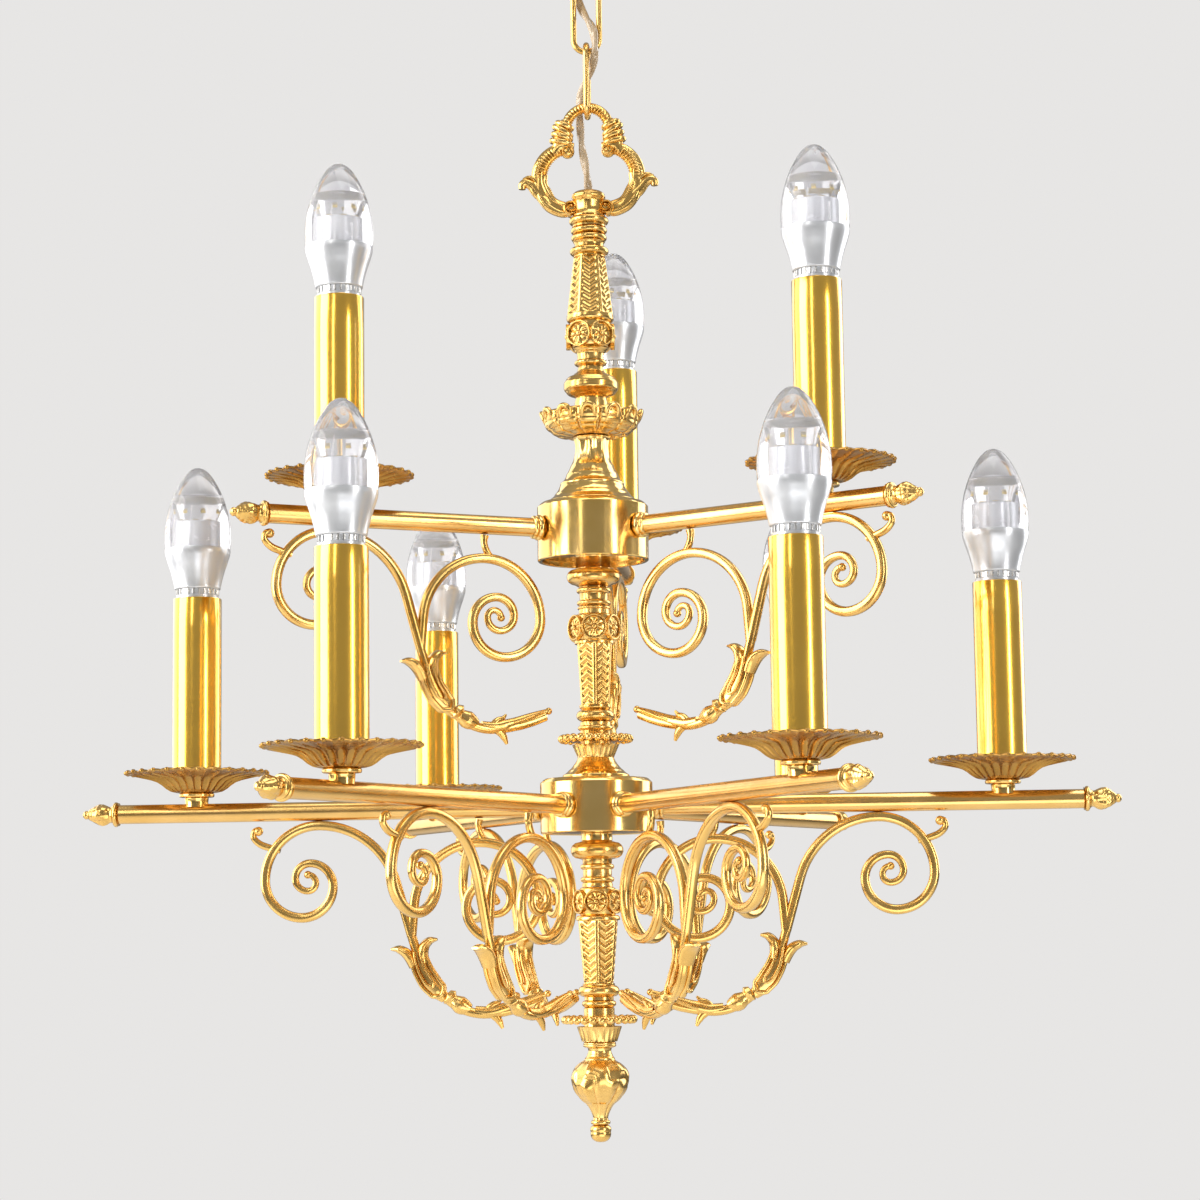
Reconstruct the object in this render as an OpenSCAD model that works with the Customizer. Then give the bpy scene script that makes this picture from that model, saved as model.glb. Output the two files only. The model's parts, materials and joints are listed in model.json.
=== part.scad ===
// Nine-light brass chandelier in two tiers, hung from a ceiling plate on a three-link chain.
// Millimetres, +Z up. The origin is the middle of the face that lies on the ceiling,
// and +X runs along lower arm 1. Column heights are measured from an arm axis.

/* [Tiers] */
// Height of the upper arms above the lower arms
tier_gap = 154; // [150:1:160]
// Bearing of upper arm 1, measured from lower arm 1
upper_turn = -32; // [-40:1:-20]

/* [Arms] */
// Outer diameter of the arm tubes
arm_d = 10.5; // [10:0.1:11]
// Tip of a lower arm's finial, from the column axis
lower_reach = 287; // [275:1:300]
// Tip of an upper arm's finial, from the column axis
upper_reach = 210; // [208:1:225]
// Candle axis of a lower arm, from the column axis
lower_candle_r = 223; // [215:1:235]
// Candle axis of an upper arm, from the column axis
upper_candle_r = 149; // [145:1:160]

/* [Candles] */
// Diameter of the drip pan
pan_d = 81; // [70:1:90]
// Outer diameter of the candle sleeve
candle_d = 27; // [26.6:0.1:28]
// Height of the candle sleeve's top edge above the arm axis
candle_top = 120; // [118:1:121]
// Widest diameter of the bulb
bulb_d = 37; // [35:1:38]
// Tip of the bulb above the arm axis
bulb_tip = 194.5; // [190:0.5:200]

/* [Column] */
// Outer diameter of the two hubs
hub_d = 62; // [60:1:66]
// Diameter of the petal cup
cup_d = 57.8; // [54:0.2:62]
// Diameter of the beaded collars
collar_d = 42; // [38:1:44]
// Diameter of the bottom finial
finial_d = 30.8; // [28:0.2:33]

/* [Scroll brackets] */
// Width of the scroll rod
rod_w = 5; // [4:0.1:5.4]

/* [Chain] */
// Outer length of a chain link
link_l = 45; // [42:0.5:50]
// Outer width of a chain link
link_w = 18; // [17:0.5:19]
// Wire diameter of a chain link
link_wire = 3.4; // [3:0.1:3.5]

/* [Canopy] */
// Diameter of the ceiling canopy
canopy_d = 110; // [100:1:130]
// Height of the ceiling canopy
canopy_h = 48; // [45:1:60]

/* [Hidden] */
LOWER = 6;
UPPER = 3;

brass = "#b99a55";
old_brass = "#a88a4c";
white = "#e8e6e0";
steel = "#b8b8b8";
copper = "#b87333";

play = 0.3;                 // free gap between parts that swing on each other
ease = 0.02;                // radial gap of a sliding or threaded fit
round_fn = 96;
rod_r = 5;                  // centre rod
rod_bore_r = 3.6;
column_r = 5.1;             // hole through every column piece
arm_r = arm_d / 2;
arm_bore_r = 4.2;
arm_start = 22;             // inner end of an arm tube, inside its hub
tip_l = 20.4;               // arm finial, beyond the tube
hub_r = hub_d / 2;
hub_wall = 2.5;
wire_r = 1.5;               // one arm's pair of wires
stem_r = 4;                 // threaded stem that carries a lampholder
stem_bore_r = 3;
stem_top = 64;
pan_seat = 11.2;            // underside of the drip pan above the arm axis
sleeve_foot = 13.6;          // lower edge of the candle sleeve
holder_r = 11.6;
socket_r = 7.35;            // bore of an E14 lampholder
socket_floor = 88;
holder_top = 117;
cable_r = 2.5;
hook_wire_r = 2;
hook_bend_r = 8;
shank_r = 3;

// Heights above the lower arm axis
loop_contact = tier_gap + 239.6;                        // underside of the loop's arch
link_pitch = link_l - 2 * link_wire - play;
link_foot = loop_contact - play - link_wire;            // lowest point of link 1
hook_low = link_foot + 2 * link_pitch + link_l - link_wire - play - hook_wire_r;
canopy_foot = hook_low + 25;
ceiling_drop = canopy_foot + canopy_h;

// Cable route: [x, y, height above the underside of the loop's arch]
CABLE = [
    [0, 0, -50], [0, 0, -44], [-0.5, 0.3, -38], [-1.5, 1.1, -31], [-2.7, 2.2, -24],
    [-3.7, 3.4, -17], [-4.4, 4.7, -9], [-4.7, 5.5, -3], [-4.9, 5.6, 2], [-4.7, 5.4, 7],
    [-3.8, 4, 11.5], [-2.1, 2.1, 15.5], [0, 0, 19.5], [2.4, -2.4, 24], [4.2, -4.2, 29], [5.1, -5.1, 35],
    [5.1, -5.1, 40.5], [4.3, -4.3, 46.5], [2.5, -2.5, 51.5], [0, 0, 56.5], [-2.5, 2.5, 61.5],
    [-4.3, 4.3, 67], [-5.1, 5.1, 73], [-5.1, 5.1, 78.5], [-4.3, 4.3, 84.5], [-2.5, 2.5, 89.5],
    [0, 0, 94.5], [2.5, -2.5, 99.5], [4.4, -4.4, 105], [5.5, -5.5, 111], [6.3, -6.3, 116],
    [7.9, -7.9, 121], [10, -10, 126], [11.4, -11.4, 130.5], [12, -12, 135], [12, -12, 143],
    [12, -12, 151.4]];
grip_at = [12, -12];

// ---------- shared shapes ----------

// Places its children at a height above the lower arm axis
module level(z) {
    translate([0, 0, z - ceiling_drop]) children();
}

// Repeats its children at the foot of every arm, +X outwards, with the arm axis at z = 0
module each_lower() {
    for (i = [0 : LOWER - 1]) level(0) rotate(i * 360 / LOWER) children();
}

module each_upper() {
    for (i = [0 : UPPER - 1]) level(tier_gap) rotate(upper_turn + i * 360 / UPPER) children();
}

// Repeats its children at every candle axis
module each_candle() {
    each_lower() translate([lower_candle_r, 0, 0]) children();
    each_upper() translate([upper_candle_r, 0, 0]) children();
}

module turned() {
    rotate_extrude($fn = round_fn) children();
}

// Half-section of a ring with a round edge, out to radius r, at height z
module bead(r, z, h, bore = column_r) {
    intersection() {
        translate([r - h / 2, z]) circle(d = h, $fn = round_fn);
        translate([bore, z - h / 2]) square([r, h]);
    }
    if (r - h / 2 > bore) translate([bore, z - 0.4 * h]) square([r - h / 2 - bore, 0.8 * h]);
}

// Half-section of a straight or tapered stretch
module taper(z1, r1, z2, r2, bore = column_r) {
    polygon([[bore, z1], [r1, z1], [r2, z2], [bore, z2]]);
}

module tube(r, bore, h) {
    difference() {
        cylinder(r = r, h = h, $fn = round_fn);
        translate([0, 0, -1]) cylinder(r = bore, h = h + 2, $fn = round_fn);
    }
}

// Hexagonal nut with its axis on +Z
module hex_nut(r, bore, h) {
    difference() {
        cylinder(r = r, h = h, $fn = 6);
        translate([0, 0, -1]) cylinder(r = bore, h = h + 2, $fn = round_fn);
    }
}

// ---------- ceiling fitting ----------

bracket_l = 90;
bracket_w = 20;
bracket_t = 3;
screw_spacing = 68;
screw_hole_r = 2.6;
boss_r = 7;
boss_l = 10;
thread_l = 9;

module ceiling_canopy() {
    wall = 1;
    r = canopy_d / 2;
    color(brass) difference() {
        level(canopy_foot) turned() polygon([
            [shank_r + ease, 0], [26, 0], [42, 5], [51, 14], [r, 26], [r, canopy_h],
            [r - wall, canopy_h], [r - wall, 26.5], [50.2, 14.8], [41.4, 6], [25.8, wall],
            [shank_r + ease, wall]]);
        level(canopy_foot - 1) translate(grip_at) cylinder(r = 4.6, h = 4, $fn = round_fn);
    }
}

module ceiling_bracket() {
    color(steel) difference() {
        union() {
            translate([-bracket_l / 2, -bracket_w / 2, -bracket_t])
                cube([bracket_l, bracket_w, bracket_t]);
            translate([0, 0, -bracket_t - boss_l]) cylinder(r = boss_r, h = boss_l, $fn = round_fn);
        }
        for (side = [-1, 1]) translate([side * screw_spacing / 2, 0, -bracket_t - 1])
            cylinder(r = screw_hole_r, h = bracket_t + 2, $fn = round_fn);
        translate([0, 0, -bracket_t - boss_l - 1])
            cylinder(r = shank_r + ease, h = thread_l + 1, $fn = round_fn);
    }
}

module canopy_hook() {
    centre = hook_low + hook_bend_r;
    thread_top = -bracket_t - boss_l + thread_l - 1;
    color(brass) union() {
        level(centre) rotate([90, 0, 0]) rotate_extrude(angle = 290, start = 160, $fn = round_fn)
            translate([hook_bend_r, 0]) circle(r = hook_wire_r, $fn = round_fn);
        level(centre + hook_bend_r - 1)
            cylinder(r = shank_r, h = thread_top + ceiling_drop - centre - hook_bend_r + 1, $fn = round_fn);
    }
}

module hook_nut() {
    color(brass) level(canopy_foot - 4) hex_nut(6.5, shank_r + ease, 4);
}

module cable_grip() {
    color(brass) level(canopy_foot) translate(grip_at) turned() union() {
        taper(-1, 6.2, 0, 6.5, cable_r + ease);
        taper(-1, 4.5, 5, 4.5, cable_r + ease);
        taper(1, 7, 5, 7, cable_r + ease);
    }
}

module terminal_block() {
    block = [18, 16, 12];
    foot = CABLE[len(CABLE) - 1].z + loop_contact;
    color(white) union() {
        level(foot) translate(grip_at) rotate(-45) translate([-block.x / 2 + 2, -block.y / 2, 0]) cube(block);
        level(foot + block.z - 1) translate([12, -7.5, 0])
            cylinder(r = 2, h = ceiling_drop - foot - block.z + 1 - bracket_t, $fn = round_fn);
    }
}

// ---------- chain and cable ----------

// Link with its lowest point at the origin, in the YZ plane
module link() {
    bend = (link_w - link_wire) / 2;
    straight = link_l - link_w;
    for (side = [-1, 1]) translate([0, side * bend, link_w / 2])
        cylinder(d = link_wire, h = straight, $fn = round_fn);
    for (up = [0, 1]) translate([0, 0, link_w / 2 + up * straight])
        rotate([90, up * 180, 90]) rotate_extrude(angle = 180, start = 180, $fn = round_fn)
            translate([bend, 0]) circle(d = link_wire, $fn = round_fn);
}

// Odd links lie in the YZ plane and even ones in the XZ plane
module chain_link(i) {
    color(brass) level(link_foot + (i - 1) * link_pitch) rotate(i % 2 == 1 ? 0 : 90) link();
}

// Unit vectors of a ring of the sweep: across and along, square to the run of the route
function unit(v) = v / norm(v);
function run_at(p, i) = unit(p[min(i + 1, len(p) - 1)] - p[max(i - 1, 0)]);
function ring(p, i, r, n) =
    let (t = run_at(p, i), a = unit(cross(t, [1, 1, 0])), b = cross(t, a))
    [for (k = [0 : n - 1]) p[i] + r * (cos(k * 360 / n) * a + sin(k * 360 / n) * b)];

// Solid tube through the points p, with n sides
module sweep_tube(p, r, n) {
    rings = len(p);
    points = [for (i = [0 : rings - 1]) each ring(p, i, r, n)];
    sides = [for (i = [0 : rings - 2], k = [0 : n - 1])
        [i * n + k, i * n + (k + 1) % n, (i + 1) * n + (k + 1) % n, (i + 1) * n + k]];
    ends = [[for (k = [n - 1 : -1 : 0]) k], [for (k = [0 : n - 1]) (rings - 1) * n + k]];
    polyhedron(points, concat(ends, sides));
}

module supply_cable() {
    color(old_brass) level(loop_contact) sweep_tube(CABLE, cable_r, 10);
}

// ---------- column, above the upper arms (heights from the upper arm axis) ----------

module hanging_loop() {
    lobe_x = 10.9;
    lobe_z = 203;
    arch_z = 230.6;
    cast_t = 5;
    chamfer = 1.2;
    color(brass) difference() {
        union() {
            level(tier_gap) rotate([90, 0, 0]) linear_extrude(cast_t, center = true) difference() {
                union() {
                    for (side = [-1, 1]) {
                        translate([side * lobe_x, lobe_z]) circle(r = 21.7, $fn = round_fn);
                        polygon([[side * 29, 196], [side * 38, 200.5], [side * 38, 203.5], [side * 29, 208]]);
                    }
                    translate([0, arch_z]) circle(r = 14.4, $fn = round_fn);
                    translate([-14, arch_z - 20]) square([28, 20]);
                }
                for (side = [-1, 1]) translate([side * lobe_x, lobe_z]) circle(r = 13.3, $fn = round_fn);
                translate([0, arch_z]) circle(r = 9, $fn = round_fn);
                translate([-8.4, arch_z - 25]) square([16.8, 25]);
            }
            level(tier_gap) turned() {
                taper(179, 9, 187, 9, 0);
                bead(10.3, 188, 3, 0);
                intersection() {
                    translate([0, 184.9]) circle(r = 10.6, $fn = round_fn);
                    translate([0, 187]) square([12, 12]);
                }
            }
        }
        level(tier_gap + 178) cylinder(r = column_r, h = 11, $fn = round_fn);
        level(tier_gap + 188) cylinder(r = 3.2, h = 9, $fn = round_fn);
        // Chamfers that let the link's bend pass round the arch
        for (side = [-1, 1]) level(tier_gap + arch_z) rotate([90 * side, 0, 0])
            translate([0, 0, cast_t / 2 - chamfer]) cylinder(r1 = 9, r2 = 9 + 2 * chamfer, h = 2 * chamfer, $fn = round_fn);
    }
}

module upper_ferrule() {
    color(brass) level(tier_gap) turned() {
        taper(157, 9.4, 179, 9, column_r);
        bead(11.1, 159, 3.9);
        bead(10.3, 166, 3);
        bead(9.9, 171, 3);
        bead(11.4, 177.9, 2.2);
    }
}

module upper_baluster() {
    color(brass) level(tier_gap) turned() {
        taper(103, 9.5, 157, 9.4);
        taper(119, 12.8, 157, 9.4);
        bead(14.4, 111.6, 16.6);
    }
}

module petal_cup() {
    r = cup_d / 2;
    color(brass) level(tier_gap) turned() {
        taper(58, 9.3, 103, 8);
        bead(8.9, 94, 3);
        bead(15, 81.5, 11);
        polygon([[column_r, 53], [9.4, 53], [19, 54.8], [r - 3, 58.6], [r, 62.6], [r, 65.8], [r - 1.8, 67.4],
            [r - 3.6, 64.6], [r - 5, 61], [18, 58.4], [column_r, 58.4]]);
    }
}

module bell_neck() {
    color(brass) level(tier_gap) turned() polygon([
        [column_r, 15.5], [25, 15.5], [23.8, 17.2], [21.2, 19.8], [18.4, 23.4], [17.4, 26.4], [14.6, 31],
        [12.2, 36], [9.9, 41.5], [9.1, 46], [9.4, 53], [column_r, 53]]);
}

// Cup with its mouth down and the arm holes in its wall; heights are its lower and upper faces
module hub(low, high, arms, turn) {
    edge = 2.4;
    roof = high - hub_wall;
    inner = hub_r - hub_wall;
    difference() {
        turned() polygon([
            [column_r, high], [hub_r - edge, high], [hub_r - 0.3 * edge, high - 0.3 * edge],
            [hub_r, high - edge], [hub_r, low], [inner, low], [inner, roof], [column_r, roof]]);
        for (i = [0 : arms - 1]) rotate([0, 90, turn + i * 360 / arms]) translate([0, 0, inner - 4])
            cylinder(r = arm_r + ease, h = hub_wall + 8, $fn = round_fn);
    }
}

module upper_hub() {
    color(brass) level(tier_gap) hub(-17.4, 15.5, UPPER, upper_turn);
}

module upper_hub_cover() {
    color(brass) level(tier_gap) turned() {
        taper(-14.4, hub_r - hub_wall - 0.1, -12.4, hub_r - hub_wall - 0.1);
        taper(-22, 9.9, -13, 9.9);
    }
}

module middle_knop() {
    color(brass) level(tier_gap) turned() {
        taper(-47, 8.5, -22, 8.5);
        bead(15, -26.1, 8);
        bead(9.6, -34, 3);
        bead(9.5, -41, 3);
    }
}

module middle_baluster() {
    color(brass) level(0) turned() {
        taper(54, 8, tier_gap - 62, 10.3);
        taper(tier_gap - 63, 9, tier_gap - 47, 9);
        bead(13.9, tier_gap - 55.2, 15.6);
    }
}

// ---------- column, at and below the lower arms (heights from the lower arm axis) ----------

module middle_bead_cup() {
    color(brass) level(0) turned() {
        taper(27, 10, 34.5, 13);
        taper(34, 9, 54, 9);
        bead(collar_d / 2, 37.5, 7);
        bead(9.8, 44, 3);
        bead(10.5, 50.5, 6.6);
    }
}

module lower_bell() {
    color(brass) level(0) turned() polygon([
        [column_r, 15.6], [18, 15.6], [18, 17.8], [15.2, 20], [12.4, 22.8], [10.6, 25.4], [9.8, 27],
        [column_r, 27]]);
}

module lower_hub() {
    color(brass) level(0) hub(-14.6, 15.6, LOWER, 0);
}

module lower_hub_cover() {
    color(brass) level(0) turned() {
        taper(-14.6, hub_r - hub_wall - 0.1, -12.6, hub_r - hub_wall - 0.1);
        taper(-19, 8.5, -14, 8.5);
    }
}

module lower_knop() {
    color(brass) level(0) turned() {
        taper(-44, 8.4, -19, 8.4);
        bead(14.6, -24, 9);
        bead(9.3, -33, 3);
        bead(9.3, -40, 3);
    }
}

module lower_baluster() {
    color(brass) level(0) turned() {
        taper(-60, 9, -44, 9);
        bead(13.1, -52.1, 15.8);
        taper(-98, 8.2, -59, 11.6);
        bead(11.3, -100.7, 6.4);
    }
}

module lower_bead_cup() {
    color(brass) level(0) turned() {
        taper(-121, 8.5, -104, 8.5);
        bead(9.4, -107.5, 4);
        bead(collar_d / 2, -116, 7.4);
        taper(-128, 9.7, -119.5, 12.3);
    }
}

module finial() {
    r = finial_d / 2;
    color(brass) level(0) difference() {
        turned() {
            taper(-149, 6.3, -128, 6.3, 0);
            bead(8.6, -129.6, 3, 0);
            intersection() {
                translate([0, -148]) circle(r = r, $fn = round_fn);
                translate([0, -170]) square([r + 1, 40]);
            }
            taper(-174, 4.2, -160, 4.6, 0);
            bead(5.6, -170.6, 2.4, 0);
            intersection() {
                translate([0, -176.5]) circle(r = 5.5, $fn = round_fn);
                translate([0, -183]) square([6, 12]);
            }
        }
        translate([0, 0, -150.5]) cylinder(r = column_r, h = 30, $fn = round_fn);
    }
}

module centre_rod() {
    top = tier_gap + 188.5;
    foot = -150;
    color(steel) difference() {
        level(foot) tube(rod_r, rod_bore_r, top - foot);
        for (z = [0, tier_gap]) level(z) rotate([0, 90, 30])
            cylinder(r = wire_r + 0.6, h = rod_r + 2, $fn = round_fn);
    }
}

// ---------- inside the hubs ----------

nut_h = 3.6;

// Nuts on the arm ends, on the centre rod inside each hub, and on the candle stems
module locknuts() {
    nut_at = hub_r - hub_wall - 1.4 - nut_h;
    color(steel) {
        each_lower() translate([nut_at, 0, 0]) rotate([0, 90, 0]) hex_nut(8, arm_r + ease, nut_h);
        each_upper() translate([nut_at, 0, 0]) rotate([0, 90, 0]) hex_nut(8, arm_r + ease, nut_h);
        level(-12.6) hex_nut(9, rod_r + ease, nut_h);
        level(tier_gap - 12.4) hex_nut(9, rod_r + ease, nut_h);
        each_candle() translate([0, 0, pan_seat + 1.2]) hex_nut(7, stem_r + ease, nut_h);
    }
}

connector_r = 16;
connector_bore_r = 6.5;

module hub_connectors() {
    color(white) for (z = [0, tier_gap]) level(z - 4) tube(connector_r, connector_bore_r, 8);
}

// Wires from the connector ring through an arm and up its candle stem
module arm_wire(candle_r) {
    translate([connector_r, 0, 0]) rotate([0, 90, 0])
        cylinder(r = wire_r, h = candle_r - connector_r + wire_r, $fn = round_fn);
    translate([candle_r, 0, 0]) cylinder(r = wire_r, h = socket_floor, $fn = round_fn);
}

module wiring() {
    lead_top = loop_contact + CABLE[0].z;
    color(copper) {
        each_lower() arm_wire(lower_candle_r);
        each_upper() arm_wire(upper_candle_r);
        union() {
            level(-2) cylinder(r = 2.2, h = lead_top + 2, $fn = round_fn);
            for (z = [0, tier_gap]) level(z) rotate([0, 90, 30])
                cylinder(r = wire_r, h = connector_bore_r, $fn = round_fn);
        }
    }
}

// ---------- arms and candles ----------

// Arm tube from inside its hub to its finial, with a hole on top for the candle stem
module arm(reach, candle_r) {
    color(brass) difference() {
        translate([arm_start, 0, 0]) rotate([0, 90, 0]) tube(arm_r, arm_bore_r, reach - tip_l - arm_start);
        translate([candle_r, 0, 0]) cylinder(r = stem_r + ease, h = arm_r + 2, $fn = round_fn);
    }
}

module lower_arm(i) {
    level(0) rotate((i - 1) * 360 / LOWER) arm(lower_reach, lower_candle_r);
}

module upper_arm(i) {
    level(tier_gap) rotate(upper_turn + (i - 1) * 360 / UPPER) arm(upper_reach, upper_candle_r);
}

// Ring that covers the joint of an arm and its hub
module arm_collar() {
    translate([hub_r + 0.1, 0, 0]) rotate([0, 90, 0]) turned() {
        bead(7.2, 2.1, 4, arm_r + ease);
        taper(3, 6.1, 6, 5.9, arm_r + ease);
    }
}

module arm_collars() {
    color(brass) {
        each_lower() arm_collar();
        each_upper() arm_collar();
    }
}

// Finial that closes the outer end of an arm; its stub fits inside the tube
module arm_finial(reach) {
    translate([reach - tip_l, 0, 0]) rotate([0, 90, 0]) turned() {
        taper(-8, arm_bore_r - ease, 1, arm_bore_r - ease, 0);
        bead(7, 1.75, 3.5, 0);
        taper(3, 3.6, 7, 3.6, 0);
        intersection() {
            translate([0, 11]) circle(r = 5.1, $fn = round_fn);
            translate([0, 4]) square([7, 14]);
        }
        intersection() {
            translate([0, 18]) circle(r = 2.4, $fn = round_fn);
            translate([0, 15]) square([4, 8]);
        }
    }
}

module arm_finials() {
    color(brass) {
        each_lower() arm_finial(lower_reach);
        each_upper() arm_finial(upper_reach);
    }
}

// Saddle boss between an arm and its drip pan
module candle_boss() {
    flange_h = 2.3;
    difference() {
        union() {
            cylinder(r = 6.5, h = pan_seat, $fn = round_fn);
            translate([0, 0, pan_seat - flange_h]) cylinder(r = 9.6, h = flange_h, $fn = round_fn);
        }
        translate([-10, 0, 0]) rotate([0, 90, 0]) cylinder(r = arm_r + ease, h = 20, $fn = round_fn);
        translate([0, 0, -1]) cylinder(r = stem_r + ease, h = pan_seat + 2, $fn = round_fn);
        translate([-10, -10, -1]) cube([20, 20, 4.2]);
    }
}

module candle_bosses() {
    color(old_brass) each_candle() candle_boss();
}

module candle_stems() {
    foot = arm_bore_r - 0.6;
    color(steel) each_candle() translate([0, 0, foot]) tube(stem_r, stem_bore_r, stem_top - foot);
}

// Shallow spun pan with its hole on the stem
module drip_pan() {
    r = pan_d / 2;
    turned() translate([0, pan_seat]) polygon([
        [stem_r + ease, 0], [9, 0], [14, 1], [18.5, 3.8], [23.5, 7.4], [32, 9.6], [r, 11], [r, 12],
        [31.7, 10.8], [23, 8.7], [17.8, 5], [13.6, 2.2], [9, 1.2], [stem_r + ease, 1.2]]);
}

module drip_pans() {
    color(old_brass) each_candle() drip_pan();
}

module candle_sleeves() {
    wall = 0.8;
    color(brass) each_candle() translate([0, 0, sleeve_foot])
        tube(candle_d / 2, candle_d / 2 - wall, candle_top - sleeve_foot);
}

// Lampholder: the stem enters below, the bulb's screw cap above
module lampholders() {
    foot = 60;
    color(white) each_candle() turned() polygon([
        [stem_r + ease, foot], [holder_r, foot], [holder_r, holder_top], [socket_r, holder_top],
        [socket_r, socket_floor], [stem_bore_r, socket_floor], [stem_bore_r, stem_top + 0.1],
        [stem_r + ease, stem_top + 0.1]]);
}

// Candle-shaped bulb on an E14 cap, standing on its candle axis
module bulb(i) {
    lower = i <= LOWER;
    turn = lower ? (i - 1) * 360 / LOWER : upper_turn + (i - LOWER - 1) * 360 / UPPER;
    cap_r = 6.95;
    r = bulb_d / 2;
    color("#d9d4c8") level(lower ? 0 : tier_gap) rotate(turn)
        translate([lower ? lower_candle_r : upper_candle_r, 0, 0]) turned() polygon([
            [0, 91], [3.5, 91], [3.5, 93.5], [cap_r, 97], [cap_r, 117.5], [11, 118.5], [11.6, 120],
            [12.6, 123.5], [r - 0.2, 144], [r, 150], [r, 157], [r - 1.2, 166], [r - 4, 175],
            [r - 8, 183.5], [r - 12, 189.5], [4, bulb_tip - 1.3], [0, bulb_tip]]);
}

// ---------- scroll brackets (radius and height from the arm axis) ----------

joint_point = [103, -69.3];     // where the two scrolls and the stem meet
arc_step = 15;

// Moves: [radius, turn] is an arc, turning left where turn > 0, and [0, length] is straight
OUTER_SCROLL = [[0, 30], [45, -74], [30, -90], [20.8, -90], [17.2, -90], [12.8, -90], [8.3, -90],
    [7, -90], [4.5, -180]];
INNER_SCROLL = [[0, 17.4], [36.6, 85], [32.5, 90], [21.7, 90], [18.5, 90], [14.5, 90], [10, 90],
    [8.5, 90], [7.2, 90], [4, 180]];
STEM = [[75, -30], [30, -50], [90, -20]];

function step_on(q, m, f) =
    m[0] == 0 ? [q[0] + f * m[1] * cos(q[2]), q[1] + f * m[1] * sin(q[2]), q[2]] :
    let (s = sign(m[1]) * m[0], a = q[2] + f * m[1])
    [q[0] + s * (sin(a) - sin(q[2])), q[1] + s * (cos(q[2]) - cos(a)), a];
function stops(m) = m[0] == 0 ? 1 : ceil(abs(m[1]) / arc_step);
// Points [r, z, heading] along a list of moves from q
function trail(moves, q, i = 0) =
    i == len(moves) ? [q] :
    concat([for (k = [0 : stops(moves[i]) - 1]) step_on(q, moves[i], k / stops(moves[i]))],
        trail(moves, step_on(q, moves[i], 1), i + 1));
function beside(q, d) = [q[0] - d * sin(q[2]), q[1] + d * cos(q[2])];
// Outline of a band of width w along a trail
function band(p, w) = concat([for (q = p) beside(q, w / 2)],
    [for (i = [len(p) - 1 : -1 : 0]) beside(p[i], -w / 2)]);

module scroll_outline() {
    start = [joint_point.x, joint_point.y];
    polygon(band(trail(OUTER_SCROLL, [start.x, start.y, 74]), rod_w));
    polygon(band(trail(INNER_SCROLL, [start.x, start.y, 95]), rod_w));
    polygon(band(trail(STEM, [start.x, start.y, -104]), rod_w));
    polygon([[147, -8.4], [158, -8.4], [158, -arm_r - 0.05], [147, -arm_r - 0.05]]);
    polygon([[60, -19], [66, -18], [67.5, -arm_r - 0.05], [65, -arm_r - 0.05]]);
    polygon([[178, -23], [182, -20], [190, -14], [188, -9], [185, -10], [186, -14], [177, -19]]);
    polygon([[70, -107], [55, -101], [53.6, -104], [40, -100], [28, -102], [40, -107], [53, -120], [58, -113]]);
}

module scroll_bracket() {
    rotate([90, 0, 0]) {
        linear_extrude(rod_w, center = true) scroll_outline();
        linear_extrude(2.6 * rod_w, center = true) polygon([
            [89.3, -71.2], [96, -74], [104, -72], [113.7, -76.4], [100, -88], [90, -101],
            [87, -107], [76, -112], [68, -107], [78, -99]]);
    }
}

module lower_scrolls() {
    color(brass) each_lower() scroll_bracket();
}

module upper_scrolls() {
    color(brass) each_upper() scroll_bracket();
}

// ---------- drawing ----------

ceiling_canopy();
ceiling_bracket();
canopy_hook();
hook_nut();
cable_grip();
terminal_block();
supply_cable();
hanging_loop();
upper_ferrule();
upper_baluster();
petal_cup();
bell_neck();
upper_hub();
upper_hub_cover();
middle_knop();
middle_baluster();
middle_bead_cup();
lower_bell();
lower_hub();
lower_hub_cover();
lower_knop();
lower_baluster();
lower_bead_cup();
finial();
centre_rod();
locknuts();
hub_connectors();
wiring();
arm_collars();
arm_finials();
candle_bosses();
candle_stems();
drip_pans();
candle_sleeves();
lampholders();
lower_scrolls();
upper_scrolls();
for (i = [1 : 3]) chain_link(i);
for (i = [1 : LOWER]) lower_arm(i);
for (i = [1 : UPPER]) upper_arm(i);
for (i = [1 : LOWER + UPPER]) bulb(i);
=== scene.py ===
"""Two-tier brass chandelier: the visual model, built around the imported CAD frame.

Shapes are given in millimetres, from an arm axis or the column axis, and become metres
in the row frame when a piece is made.
"""
import json
from math import asin, atan2, ceil, copysign, cos, hypot, pi, radians, sin, sqrt, tan

import bmesh
import bpy
from mathutils import Matrix, Vector

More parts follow.
